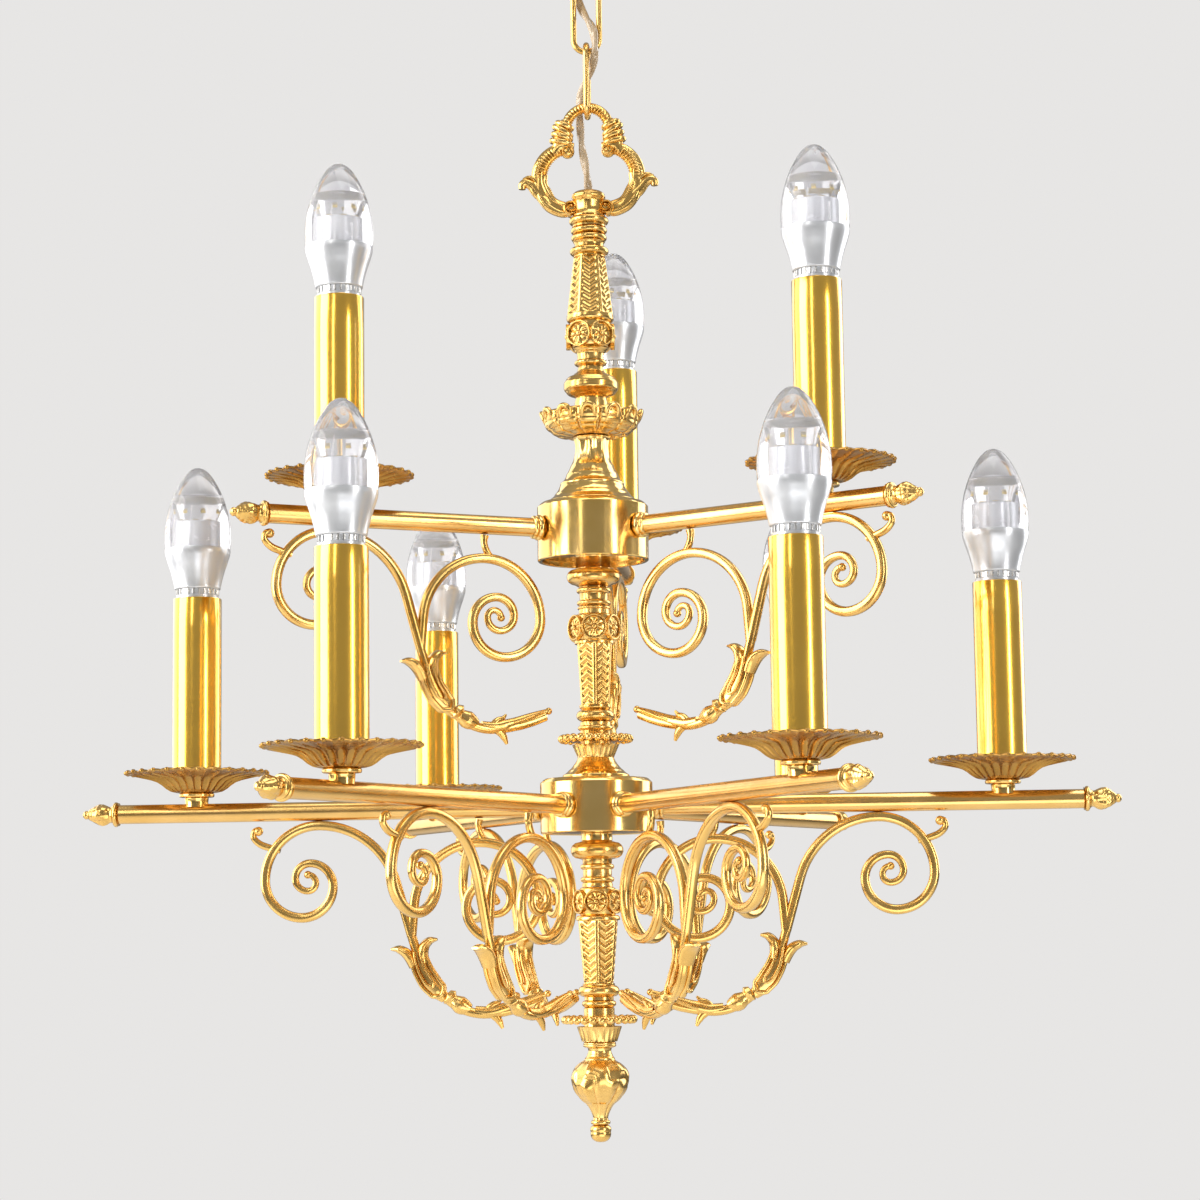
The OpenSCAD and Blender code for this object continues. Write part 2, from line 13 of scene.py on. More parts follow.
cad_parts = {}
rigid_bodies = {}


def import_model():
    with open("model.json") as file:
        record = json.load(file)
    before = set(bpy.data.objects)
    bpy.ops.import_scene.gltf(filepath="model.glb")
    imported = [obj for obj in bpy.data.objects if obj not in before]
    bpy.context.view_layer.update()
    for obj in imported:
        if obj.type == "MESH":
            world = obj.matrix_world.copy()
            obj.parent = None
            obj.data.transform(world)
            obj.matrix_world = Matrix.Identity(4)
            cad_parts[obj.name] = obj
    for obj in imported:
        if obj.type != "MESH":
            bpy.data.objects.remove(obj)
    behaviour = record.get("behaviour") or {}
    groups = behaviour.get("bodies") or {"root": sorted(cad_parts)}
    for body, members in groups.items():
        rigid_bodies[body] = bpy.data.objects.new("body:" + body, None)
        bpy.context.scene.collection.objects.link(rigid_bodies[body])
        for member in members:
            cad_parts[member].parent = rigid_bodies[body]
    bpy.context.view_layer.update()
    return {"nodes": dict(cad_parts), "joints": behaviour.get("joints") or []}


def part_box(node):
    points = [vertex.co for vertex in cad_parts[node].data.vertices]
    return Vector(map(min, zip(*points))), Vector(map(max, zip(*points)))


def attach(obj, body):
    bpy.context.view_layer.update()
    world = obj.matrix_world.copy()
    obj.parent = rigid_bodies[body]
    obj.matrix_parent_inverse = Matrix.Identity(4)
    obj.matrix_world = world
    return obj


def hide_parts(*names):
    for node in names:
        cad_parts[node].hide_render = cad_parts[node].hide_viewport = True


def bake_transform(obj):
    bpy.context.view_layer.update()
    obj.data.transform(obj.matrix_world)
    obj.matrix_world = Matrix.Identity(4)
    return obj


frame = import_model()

MM = 0.001
TAU = 2 * pi
X, Y, Z = Vector((1, 0, 0)), Vector((0, 1, 0)), Vector((0, 0, 1))
scene = bpy.context.scene


def middle(node):
    low, high = (Vector(corner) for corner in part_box(node))
    return (low + high) / 2


LOWER_Z = middle("lower_arm_1").z / MM
UPPER_Z = middle("upper_arm_1").z / MM
CANDLES = [middle(f"bulb_{i}") for i in range(1, 10)]
BEARINGS = [atan2(spot.y, spot.x) for spot in CANDLES]
TIER_Z = [LOWER_Z] * 6 + [UPPER_Z] * 3
CANDLE_R = [hypot(spot.x, spot.y) / MM for spot in CANDLES]
REACH = [287.0] * 6 + [210.0] * 3     # to the tip of each arm finial
TUBE_START = 22.0             # where an arm's tube begins, inside the hub wall
TUBE_R = 5.25
FINIAL_LENGTH = 20.4
TUBE_END = [reach - FINIAL_LENGTH for reach in REACH]
GLASS_WALL = 0.8

# ---- camera

CAMERA_DISTANCE = 1.5707      # from the column axis
CAMERA_DROP = 0.0778          # below the lower arm axis
CAMERA_TURN = radians(3.72)
CAMERA_YAW = radians(0.126)
CAMERA_PITCH = radians(6.992)
CAMERA_ROLL = radians(-0.776)
CAMERA_LENS = 85.3


def add_camera():
    yaw, pitch, roll = CAMERA_YAW, CAMERA_PITCH, CAMERA_ROLL
    ahead = Vector((sin(yaw) * cos(pitch), cos(yaw) * cos(pitch), sin(pitch)))
    right = Vector((cos(yaw), -sin(yaw), 0))
    up = right.cross(ahead)
    side = cos(roll) * right + sin(roll) * up
    top = -sin(roll) * right + cos(roll) * up
    axes = Matrix((side, top, -ahead)).transposed()
    turn = Matrix.Rotation(CAMERA_TURN, 3, "Z")
    place = Vector((0, -CAMERA_DISTANCE, LOWER_Z * MM - CAMERA_DROP))
    data = bpy.data.cameras.new("camera")
    data.lens = CAMERA_LENS
    data.sensor_width = 36
    camera = bpy.data.objects.new("camera", data)
    camera.matrix_world = Matrix.Translation(turn @ place) @ (turn @ axes).to_4x4()
    scene.collection.objects.link(camera)
    scene.camera = camera


add_camera()

# ---- materials


class Shader:
    """A Principled material and short ways to wire its nodes."""

    def __init__(self, name, **sockets):
        self.material = bpy.data.materials.new(name)
        self.material.use_nodes = True
        self.tree = self.material.node_tree
        self.shader = self.tree.nodes["Principled BSDF"]
        for socket, value in sockets.items():
            self.shader.inputs[socket.replace("_", " ")].default_value = value
        self.coords = self.tree.nodes.new("ShaderNodeTexCoord").outputs["Object"]

    def node(self, kind, **values):
        made = self.tree.nodes.new(kind)
        for name, value in values.items():
            made.inputs[name.replace("_", " ")].default_value = value
        return made

    def link(self, source, target):
        self.tree.links.new(source, target)

    def noise(self, scale, detail=3.0, stretch=(1, 1, 1)):
        mapping = self.node("ShaderNodeMapping")
        mapping.inputs["Scale"].default_value = stretch
        self.link(self.coords, mapping.inputs["Vector"])
        made = self.node("ShaderNodeTexNoise", Scale=scale, Detail=detail)
        self.link(mapping.outputs["Vector"], made.inputs["Vector"])
        return made.outputs["Fac"]

    def ramp(self, value, stops, socket):
        made = self.node("ShaderNodeValToRGB")
        elements = made.color_ramp.elements
        while len(elements) < len(stops):
            elements.new(0.5)
        for element, (position, color) in zip(elements, stops):
            element.position = position
            element.color = (*color, 1)
        self.link(value, made.inputs["Fac"])
        self.link(made.outputs["Color"], self.shader.inputs[socket])

    def spread(self, value, low, high, socket):
        made = self.node("ShaderNodeMapRange", From_Min=0.3, From_Max=0.7, To_Min=low, To_Max=high)
        self.link(value, made.inputs["Value"])
        self.link(made.outputs["Result"], self.shader.inputs[socket])

    def bump(self, height, distance, before=None):
        made = self.node("ShaderNodeBump", Distance=distance)
        self.link(height, made.inputs["Height"])
        if before:
            self.link(before.outputs["Normal"], made.inputs["Normal"])
        self.link(made.outputs["Normal"], self.shader.inputs["Normal"])
        return made


PATCH = 45                    # scale of the drift in colour and gloss


def drift_and_painted_shade(made, dark, light, recess_shade, polish):
    """Colour that drifts between two tones, with painted shade darkening the recesses, and a drifting gloss.
    """
    drift = made.node("ShaderNodeValToRGB")
    drift.color_ramp.elements[0].position, drift.color_ramp.elements[1].position = 0.3, 0.7
    drift.color_ramp.elements[0].color, drift.color_ramp.elements[1].color = (*dark, 1), (*light, 1)
    made.link(made.noise(PATCH, 4), drift.inputs["Fac"])
    # Painted shade: concave places (low pointiness) take the darker recess colour in place of the metal's
    # own tone.
    hollow = made.node("ShaderNodeMapRange", From_Min=0.40, From_Max=0.48)
    made.link(made.node("ShaderNodeNewGeometry").outputs["Pointiness"], hollow.inputs["Value"])
    blend = made.node("ShaderNodeMix")
    blend.data_type = "RGBA"
    blend.inputs["A"].default_value = (*recess_shade, 1)
    made.link(hollow.outputs["Result"], blend.inputs["Factor"])
    made.link(drift.outputs["Color"], blend.inputs["B"])
    made.link(blend.outputs["Result"], made.shader.inputs["Base Color"])
    made.spread(made.noise(PATCH * 2.5, 5), polish[0], polish[1], "Roughness")


def brass(name, dark, light, recess_shade, polish, grain=900, grain_depth=0.00002, wave_depth=0.0002,
        stretch=(1, 1, 1), lacquer=0.15, lacquer_index=1.5):
    """Lacquered metal with a casting or brushing grain over soft waves, and painted shade in its recesses.
    """
    made = Shader(name, Metallic=1.0, Coat_Weight=lacquer, Coat_Roughness=0.12, Coat_IOR=lacquer_index)
    drift_and_painted_shade(made, dark, light, recess_shade, polish)
    wave = made.bump(made.noise(28, 1), wave_depth)
    made.bump(made.noise(grain, 2, stretch), grain_depth, before=wave)
    return made.material


def plastic(name, color, other, polish, grain=500, depth=0.00001, **sockets):
    made = Shader(name, **sockets)
    made.ramp(made.noise(60, 3), [(0.35, color), (0.65, other)], "Base Color")
    made.spread(made.noise(150, 3), polish[0], polish[1], "Roughness")
    made.bump(made.noise(grain, 2), depth)
    return made.material


def metal(name, dark, light, polish, grain=700, depth=0.00002):
    return plastic(name, dark, light, polish, grain, depth, Metallic=1.0)


# Dark brown painted into the recesses of the cast brass as shade.
PAINTED_SHADE_UMBER = (0.20, 0.085, 0.012)
# In each brass, the third colour is painted shade for the recesses.
MATERIALS = {
    "brass_polished": brass("polished_brass", (0.80, 0.52, 0.15), (0.88, 0.60, 0.22),
        (0.45, 0.24, 0.05), (0.12, 0.20), 600, 0.000006, 0.00012),
    "brass_cast": brass("cast_brass", (0.70, 0.42, 0.11), (0.85, 0.56, 0.19), PAINTED_SHADE_UMBER, (0.18, 0.28),
        1100, 0.00001, 0.00015),
    "brass_satin": brass("satin_brass", (0.97, 0.56, 0.05), (1.0, 0.60, 0.065), (0.6, 0.35, 0.05),
        (0.20, 0.24), 2600, 0.000002, 0.00001, (1, 1, 0.02), 1.0, 1.65),
    "brass_arm": brass("drawn_brass", (0.75, 0.46, 0.14), (0.83, 0.53, 0.19), (0.5, 0.28, 0.08),
        (0.2, 0.27), 2200, 0.000006, 0.00005),
    "brass_pan": brass("spun_brass", (0.32, 0.165, 0.032), (0.46, 0.255, 0.06), (0.10, 0.05, 0.012),
        (0.22, 0.34), 1300, 0.00006, 0.0002),
    "holder_plastic": plastic("holder_plastic", (0.72, 0.70, 0.64), (0.80, 0.78, 0.73), (0.35, 0.5)),
    "inner_steel": metal("zinc_steel", (0.52, 0.53, 0.55), (0.66, 0.66, 0.66), (0.28, 0.42)),
    "copper_wire": plastic("wire_sheath", (0.60, 0.56, 0.48), (0.66, 0.62, 0.55), (0.3, 0.4)),
    "cable_sheath": plastic("cable_sheath", (0.44, 0.31, 0.17), (0.60, 0.48, 0.34), (0.16, 0.26), 700,
        0.00002, Transmission_Weight=0.15, IOR=1.46, Coat_Weight=0.4),
    "bulb_base": plastic("bulb_base", (0.66, 0.68, 0.72), (0.69, 0.71, 0.74), (0.28, 0.30), 60,
        0.00001, Metallic=0.6, Coat_Weight=0.3, Coat_Roughness=0.15),
    "bulb_post": plastic("bulb_post", (0.78, 0.80, 0.83), (0.86, 0.87, 0.88), (0.2, 0.3),
        Metallic=0.2),
    "bulb_cap": metal("nickel_cap", (0.60, 0.60, 0.60), (0.74, 0.73, 0.70), (0.2, 0.32)),
    "bulb_chip": plastic("bulb_chip", (0.85, 0.62, 0.18), (0.92, 0.72, 0.26), (0.4, 0.5)),
    "bulb": plastic("bulb_glass", (0.88, 0.88, 0.91), (0.92, 0.92, 0.94), (0.02, 0.05), 90, 0.00001,
        Transmission_Weight=0.9, IOR=1.25),
    "bulb_guide": plastic("bulb_guide", (0.90, 0.90, 0.89), (0.95, 0.95, 0.94), (0.06, 0.12), 200,
        0.00004, Transmission_Weight=0.75, IOR=1.45),
}
RECORD_SLOT = {name: "bulb" for name in MATERIALS if name.startswith("bulb")}
RECORD_SLOT["brass_arm"] = "brass_satin"

# ---- mesh making


class Form:
    """Vertices in millimetres and faces, gathered before they become one object."""

    def __init__(self):
        self.verts = []
        self.faces = []

    def grid(self, rows, loop=False, ring=True):
        """Skins rows of points. ring closes each row on itself, loop joins the last row to the first."""
        start, wide = len(self.verts), len(rows[0])
        self.verts += [Vector(point) for row in rows for point in row]
        for i in range(len(rows) if loop else len(rows) - 1):
            a, b = start + i * wide, start + (i + 1) % len(rows) * wide
            for k in range(wide if ring else wide - 1):
                m = (k + 1) % wide
                self.faces.append((a + k, a + m, b + m, b + k))
        if ring and not loop:
            self.cap(rows[0], start)
            self.cap(rows[-1], start + (len(rows) - 1) * wide)

    def cap(self, row, first):
        """Closes an end ring with a fan about its middle, unless the ring is already a point."""
        points = [Vector(point) for point in row]
        centre = sum(points, Vector()) / len(points)
        if max((point - centre).length for point in points) < 1e-4:
            return
        self.verts.append(centre)
        tip = len(self.verts) - 1
        for k in range(len(row)):
            self.faces.append((first + k, first + (k + 1) % len(row), tip))

    def add(self, other, place=Matrix()):
        start = len(self.verts)
        self.verts += [place @ vert for vert in other.verts]
        self.faces += [tuple(start + i for i in face) for face in other.faces]
        return self


def clamp(value):
    return max(0.0, min(1.0, value))


def turns(count, offset=0):
    """Even angles round a circle; offset is a share of one step."""
    return [TAU * (k + offset) / count for k in range(count)]


def at(x=0.0, y=0.0, z=0.0, turn=0.0):
    return Matrix.Translation((x, y, z)) @ Matrix.Rotation(turn, 4, "Z")


def around(angle, x=0.0, z=0.0):
    """Out along x, then turned about Z."""
    return Matrix.Rotation(angle, 4, "Z") @ Matrix.Translation((x, 0, z))


def polar(r, angle, z):
    return r * cos(angle), r * sin(angle), z


def xz(points):
    return [(x, 0, z) for x, z in points]


def make(form, name, body, slot, *nodes, place=Matrix(), sharp=38):
    """One object from a form in millimetres, riding on a body and standing for CAD nodes."""
    mesh = bpy.data.meshes.new(name)
    mesh.from_pydata([(place @ vert) * MM for vert in form.verts], [], form.faces)
    work = bmesh.new()
    work.from_mesh(mesh)
    bmesh.ops.remove_doubles(work, verts=work.verts, dist=2e-6)
    bmesh.ops.dissolve_degenerate(work, edges=work.edges, dist=1e-7)
    bmesh.ops.recalc_face_normals(work, faces=work.faces)
    for face in work.faces:
        face.smooth = True
    work.to_mesh(mesh)
    work.free()
    mesh.set_sharp_from_angle(angle=radians(sharp))
    mesh.materials.append(MATERIALS[slot])
    piece = bpy.data.objects.new(name, mesh)
    scene.collection.objects.link(piece)
    if body:
        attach(piece, body)
    if nodes:
        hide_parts(*nodes)
    return piece


def arc(p, q, bulge, steps):
    """Points after p up to q on an arc that stands bulge to the right of the way from p to q."""
    if not bulge:
        return [q]
    chord = hypot(q[0] - p[0], q[1] - p[1])
    radius = (chord * chord / 4 + bulge * bulge) / (2 * abs(bulge))
    half = asin(min(1.0, chord / 2 / radius))
    if abs(bulge) > chord / 2:
        half = pi - half
    along = ((q[0] - p[0]) / chord, (q[1] - p[1]) / chord)
    across = (along[1] * copysign(1, bulge), -along[0] * copysign(1, bulge))
    points = []
    for k in range(1, steps + 1):
        angle = half * (2 * k / steps - 1)
        run, rise = radius * sin(angle), radius * (cos(angle) - cos(half))
        points.append(((p[0] + q[0]) / 2 + along[0] * run + across[0] * rise,
            (p[1] + q[1]) / 2 + along[1] * run + across[1] * rise))
    points[-1] = tuple(q)
    return points


def outline(*stops, steps=7):
    """(r, z) points going up the outside; a third number bulges the way to that stop out."""
    points = [tuple(stops[0][:2])]
    for stop in stops[1:]:
        points += arc(points[-1], stop[:2], stop[2] if len(stop) > 2 else 0, steps)
    return points


def fine(points, step):
    """The same outline with no stretch longer than step."""
    made = [points[0]]
    for p, q in zip(points, points[1:]):
        parts = max(1, ceil(hypot(q[0] - p[0], q[1] - p[1]) / step))
        made += [(p[0] + (q[0] - p[0]) * k / parts, p[1] + (q[1] - p[1]) * k / parts)
            for k in range(1, parts + 1)]
    return made


def lathe(points, n=72, relief=None, loop=False):
    """Turns an outline about Z. relief(angle, r, z) gives the point's new r and z."""
    form, rows = Form(), []
    for r, z in points:
        row = []
        for angle in turns(n):
            rr, zz = relief(angle, r, z) if relief and r > 0 else (r, z)
            row.append(polar(rr, angle, zz))
        rows.append(row)
    form.grid(rows, loop=loop)
    return form


BORE = 5.1                    # of the column's parts, round the centre rod


def sleeve(points, n=72, relief=None):
    """A turned ring about the column's bore."""
    return lathe([(BORE, points[0][1])] + points + [(BORE, points[-1][1])], n, relief, loop=True)


def ball(radius, centre=(0, 0, 0), stretch=(1, 1, 1), n=14, rings=8):
    form = Form()
    rows = []
    for i in range(rings + 1):
        tilt = pi * i / rings
        rows.append([(centre[0] + stretch[0] * radius * sin(tilt) * cos(angle),
            centre[1] + stretch[1] * radius * sin(tilt) * sin(angle),
            centre[2] + stretch[2] * radius * cos(tilt)) for angle in turns(n)])
    form.grid(rows)
    return form


def rod(path, size, n=14, power=2.0, side=Y):
    """Sweeps a rounded section along path. size(t) gives (half width, half depth along side) at share t."""
    form = Form()
    path = [Vector(point) for point in path]
    lengths = [0.0]
    for p, q in zip(path, path[1:]):
        lengths.append(lengths[-1] + (q - p).length)
    rows = []
    for i, point in enumerate(path):
        run = (path[min(i + 1, len(path) - 1)] - path[max(i - 1, 0)]).normalized()
        across = (side - run * side.dot(run)).normalized()
        wide = run.cross(across)
        half_w, half_d = size(lengths[i] / lengths[-1])
        row = []
        for angle in turns(n):
            c, s = cos(angle), sin(angle)
            if power != 2.0:
                c = copysign(abs(c) ** (2 / power), c)
                s = copysign(abs(s) ** (2 / power), s)
            row.append(point + wide * (half_w * c) + across * (half_d * s))
        rows.append(row)
    form.grid(rows)
    return form


def turtle(moves, x, z, heading, step=7.0):
    """Points (x, 0, z) along moves: (radius, turn) is an arc, left if turn > 0; (0, length) a line."""
    points = [Vector((x, 0, z))]
    heading = radians(heading)
    for radius, amount in moves:
        if radius == 0:
            parts = max(1, ceil(amount / 4))
            for _ in range(parts):
                x += amount / parts * cos(heading)
                z += amount / parts * sin(heading)
                points.append(Vector((x, 0, z)))
            continue
        parts = ceil(abs(amount) / step)
        bend = radians(amount / parts)
        bow = copysign(radius, amount)
        for _ in range(parts):
            x += bow * (sin(heading + bend) - sin(heading))
            z += bow * (cos(heading) - cos(heading + bend))
            heading += bend
            points.append(Vector((x, 0, z)))
    return points


def smooth(points, parts=6):
    """A Catmull-Rom curve through a few points."""
    points = [Vector(point) for point in points]
    ends = [2 * points[0] - points[1]] + points + [2 * points[-1] - points[-2]]
    made = []
    for a, b, c, d in zip(ends, ends[1:], ends[2:], ends[3:]):
        for k in range(parts):
            t = k / parts
            made.append(0.5 * ((2 * b) + (c - a) * t + (2 * a - 5 * b + 4 * c - d) * t * t
                + (3 * b - a - 3 * c + d) * t ** 3))
    return made + [points[-1]]


def between(stops, t):
    """Value at share t along evenly spaced stops."""
    spot = min(t, 0.99999) * (len(stops) - 1)
    i = int(spot)
    return stops[i] + (stops[i + 1] - stops[i]) * (spot - i)

# ---- cable and chain

LINK_L, LINK_W, LINK_WIRE = 45.0, 18.0, 3.4
JOINTS = {joint["name"]: Vector(joint.get("pos_m") or (0, 0, 0)) for joint in frame["joints"]}
CHAIN = ["ceiling_fitting", "upper_link", "middle_link", "lower_link", "lamp"]
PIVOTS = [JOINTS[name].z for name in ("upper_link_swing", "middle_link_swing", "lower_link_swing",
    "lamp_swing")]
# Height of the underside of the loop's arch: the lowest link's wire hangs 0.3 mm below it
LOOP_CONTACT = PIVOTS[3] / MM + LINK_WIRE / 2 + 0.3

# The cable's route, as in the CAD: x, y and height above the underside of the loop's arch
CABLE = [
    (0, 0, -50), (0, 0, -44), (-0.5, 0.3, -38), (-1.5, 1.1, -31), (-2.7, 2.2, -24),
    (-3.7, 3.4, -17), (-4.4, 4.7, -9), (-4.7, 5.5, -3), (-4.9, 5.6, 2), (-4.7, 5.4, 7),
    (-3.8, 4, 11.5), (-2.1, 2.1, 15.5), (0, 0, 19.5), (2.4, -2.4, 24), (4.2, -4.2, 29), (5.1, -5.1, 35),
    (5.1, -5.1, 40.5), (4.3, -4.3, 46.5), (2.5, -2.5, 51.5), (0, 0, 56.5), (-2.5, 2.5, 61.5),
    (-4.3, 4.3, 67), (-5.1, 5.1, 73), (-5.1, 5.1, 78.5), (-4.3, 4.3, 84.5), (-2.5, 2.5, 89.5),
    (0, 0, 94.5), (2.5, -2.5, 99.5), (4.4, -4.4, 105), (5.5, -5.5, 111), (6.3, -6.3, 116),
    (7.9, -7.9, 121), (10, -10, 126), (11.4, -11.4, 130.5), (12, -12, 135), (12, -12, 143),
    (12, -12, 151.4)]
CORE_TWIST = 0.16             # radians per millimetre of cable


def supply_cable():
    """Two twisted cores in a clear sheath, cut into pieces at each link's middle."""
    route = smooth([(x, y, z + LOOP_CONTACT) for x, y, z in reversed(CABLE)], 5)
    cuts = [(PIVOTS[i] + PIVOTS[i + 1]) / 2 / MM for i in range(3)]
    stretches = []
    rest = route
    for cut in cuts:
        count = sum(point.z >= cut for point in rest)
        stretches.append(rest[:count])
        rest = rest[count - 1:]
    stretches.append(rest)
    turned = 0.0
    for i, stretch in enumerate(stretches):
        form = Form()
        rows, travelled = [], 0.0
        whole = route.index(stretch[0])
        for j, point in enumerate(stretch):
            k = whole + j
            run = (route[min(k + 1, len(route) - 1)] - route[max(k - 1, 0)]).normalized()
            wide = run.cross(Vector((1, 1, 0)).normalized()).normalized()
            deep = run.cross(wide)
            if j:
                travelled += (point - stretch[j - 1]).length
            angle0 = (turned + travelled) * CORE_TWIST
            row = []
            for angle in turns(28):
                radius = 1.55 + 0.92 * abs(cos(angle - angle0)) ** 1.3
                row.append(point + radius * (cos(angle) * wide + sin(angle) * deep))
            rows.append(row)
        form.grid(rows)
        turned += travelled
        piece = make(form, f"supply_cable_{i + 1}", None, "cable_sheath")
        if i == 0:
            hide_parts("supply_cable")
        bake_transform(piece)


def chain_link(number):
    """Oval link of round wire with its weld seam."""
    bend, straight = (LINK_W - LINK_WIRE) / 2, LINK_L - LINK_W
    path = []
    for k in range(48):
        angle = TAU * k / 48
        shift = straight / 2 if sin(angle) > 0 else -straight / 2
        path.append(Vector((0, bend * cos(angle), bend * sin(angle) + shift)))
        if k in (0, 24):
            path += [Vector((0, path[-1].y, z)) for z in ((-12, -6, -0.8, 0, 0.8, 6, 12) if k == 0
                else (12, 6, 0, -6, -12))]
    rows = []
    for i, point in enumerate(path):
        run = (path[(i + 1) % len(path)] - path[i - 1]).normalized()
        wide = run.cross(X)
        seam = 0.12 if point.y > 0 and abs(point.z) < 0.5 else 0.0
        radius = LINK_WIRE / 2 - seam
        rows.append([point + radius * (cos(spin) * wide + sin(spin) * X) for spin in turns(16)])
    form = Form()
    form.grid(rows, loop=True)
    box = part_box(f"chain_link_{number}")
    centre = (box[0][2] + box[1][2]) / 2 / MM
    make(form, f"link_{number}", CHAIN[4 - number], "brass_cast", f"chain_link_{number}",
         place=at(z=centre, turn=0 if number % 2 else pi / 2), sharp=60)


supply_cable()
for number in (1, 2, 3):
    chain_link(number)

# ---- canopy and hook

CANOPY_H = -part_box("ceiling_canopy")[0].z / MM
ALONG_X = Matrix.Rotation(pi / 2, 4, "Y")


def bead(r, z, h):
    """Two outline stops for a round bead that reaches out to r."""
    return (r - h / 2, z - h / 2), (r - h / 2, z + h / 2, h / 2)


def canopy():
    shell = outline((25.8, 1), (41.4, 6, 3), (50.2, 14.8, 1), (54, 26.5, 1), (54, CANOPY_H),
        (55, CANOPY_H), (55.6, CANOPY_H - 1.2), (55, CANOPY_H - 2.4), (55, 26), (54.4, 24.4),
        (51, 14, -1), (49.6, 12.6), (42, 5, -1), (40, 4.2), (26, 0, -3), (24.6, -0.4), (12, -0.4),
        (11, 0), (3.2, 0), (3.2, 1))
    make(lathe(shell, 128, loop=True), "canopy", "ceiling_fitting", "brass_polished", "ceiling_canopy",
         place=at(z=-CANOPY_H))


def canopy_hook():
    low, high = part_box("canopy_hook")
    bend, wire = 8.0, 2.0
    centre = low.z / MM + bend + wire
    path = [Vector((bend * cos(radians(a)), 0, bend * sin(radians(a)))) for a in range(160, 451, 6)]
    path += [Vector((0, 0, bend + 1.5)), Vector((0, 0, bend + 3))]
    hook = rod(path, lambda t: (wire * min(1, 0.55 + 12 * t),) * 2, n=16)
    shank = lathe(outline((0, bend), (2.2, bend), (3, bend + 2.5), (3, high.z / MM - centre - 1),
        (2, high.z / MM - centre), (0, high.z / MM - centre)), 32)
    make(hook.add(shank), "hook", "ceiling_fitting", "brass_cast", "canopy_hook", place=at(z=centre))


# ---- column

HEX = TAU / 6


def corner_distance(angle, turn):
    """How far angle is from the nearest corner line, from 0 at the corner to 1 at the middle of a face."""
    return abs(((angle - turn) / HEX + 0.5) % 1 - 0.5) * 2


def hexagonal(angle, r, turn):
    """Radius of a round-cornered hexagon whose corners stand at r."""
    off = (1 - corner_distance(angle, turn)) * HEX / 2
    flat = r * cos(HEX / 2) / cos(off)
    return min(flat, r * 0.975)


CHEVRON_PITCH = 4.1


def chevrons(turn, low, high, pointing):
    """Relief for a hexagonal baluster: sunk faces with chevron ribs between plain ridges."""
    def relief(angle, r, z):
        if not low < z < high:
            return r, z
        across = corner_distance(angle, turn)
        body = hexagonal(angle, r, turn)
        edge = min(1, (z - low) / 1.2, (high - z) / 1.2)
        if across < 0.2:
            return body + 0.15 * edge, z
        middle_line = 1 - across
        wave = 0.5 + 0.5 * cos(TAU * (z + pointing * 3.4 * middle_line) / CHEVRON_PITCH)
        fade = min(1, (across - 0.2) / 0.12)
        return body + edge * (0.15 - fade * 0.95 * (1 - wave ** 0.8)), z
    return relief


def rosette(radius):
    """Flower medallion in the XY plane, facing +Z: button, eight hollow petals and a rim."""
    def petals(angle, r, z):
        if not 0.2 * radius < r < 0.82 * radius:
            return r, z
        share = (r / radius - 0.2) / 0.62
        lobe = abs(cos(4 * angle))
        return r, z + 0.9 * sin(pi * share) * (lobe ** 0.6 - 0.35)
    face = outline((radius, -1.6), (radius, 0.1), (radius - 0.9, 0.1, 0.7), (0.84 * radius, -0.5))
    face += [(radius * (0.82 - 0.045 * k), -0.5 + 0.05 * k) for k in range(14)]
    face += outline((0.2 * radius, -0.2), (0.2 * radius, 0.6), (0.001, 1.5, 0.35), steps=5)
    return lathe(face + [(0, 1.5)], 64, petals)


def rosette_band(reach, low, high, turn, drop=0.0):
    """Six rosettes round a swollen band; reach is the radius of their buttons."""
    mid, half = (low + high) / 2, (high - low) / 2
    plane = reach - 1.5
    radius = min(half * 0.92, plane * tan(HEX / 2) * 0.99)
    form = sleeve(outline((0.72 * plane, low), (0.86 * plane, low + 1.5, 0.4), (0.9 * plane, mid, 0.6),
        (0.86 * plane, high - 1.5, 0.6), (0.72 * plane, high, 0.4)), 96)
    for k in range(6):
        angle = turn + k * HEX
        form.add(rosette(radius), around(angle, plane, mid - drop) @ ALONG_X)
    return form


def beaded_collar(reach, z):
    """Thin disc with round beads on its edge."""
    count, size = 24, 2.35
    ring = reach - size
    form = sleeve(outline((ring - 4, z - 1.6), (ring, z - 0.9), (ring + 1, z, 0.3),
        (ring, z + 0.9, 0.3), (ring - 5, z + 1.5)), 96)
    for angle in turns(count, 0.5):
        form.add(ball(size, polar(ring, angle, z), n=16, rings=10))
    return form


def fluted_cup(top, bottom):
    """Tapered cup between two (r, z) ends with narrow flutes."""
    flutes = 24
    low, high = sorted((top, bottom), key=lambda stop: stop[1])

    def flute(angle, r, z):
        share = min(1, max(0, (z - low[1]) / (high[1] - low[1])))
        return r - 0.45 * abs(sin(flutes / 2 * angle)) * max(0, sin(pi * share)) ** 0.5, z
    wall = fine([low, high], 0.8)
    return sleeve([(low[0] - 0.8, low[1])] + wall + [(high[0] - 0.8, high[1] + 0.2)], 192, flute)


def column_piece(form, node, slot="brass_cast", sharp=38):
    make(form, node + "_look", "lamp", slot, node, place=at(z=LOWER_Z), sharp=sharp)


def turned_piece(node, *stops, n=96, slot="brass_cast"):
    column_piece(sleeve(outline(*stops), n), node, slot)


FRONT = -pi / 2 + CAMERA_TURN


def upper_ferrule():
    turned_piece("upper_ferrule", (8.2, 311), *bead(11, 313, 4.2), (8.5, 315.4), (8.1, 317),
        (9.1, 318.6, -0.1), *bead(10.1, 320.8, 3.4), (9.3, 322.6), *bead(10.3, 325, 3.6), (9.5, 327),
        (9.3, 328), *bead(11.2, 330.6, 4.2), (9.6, 332.9), (9, 333))


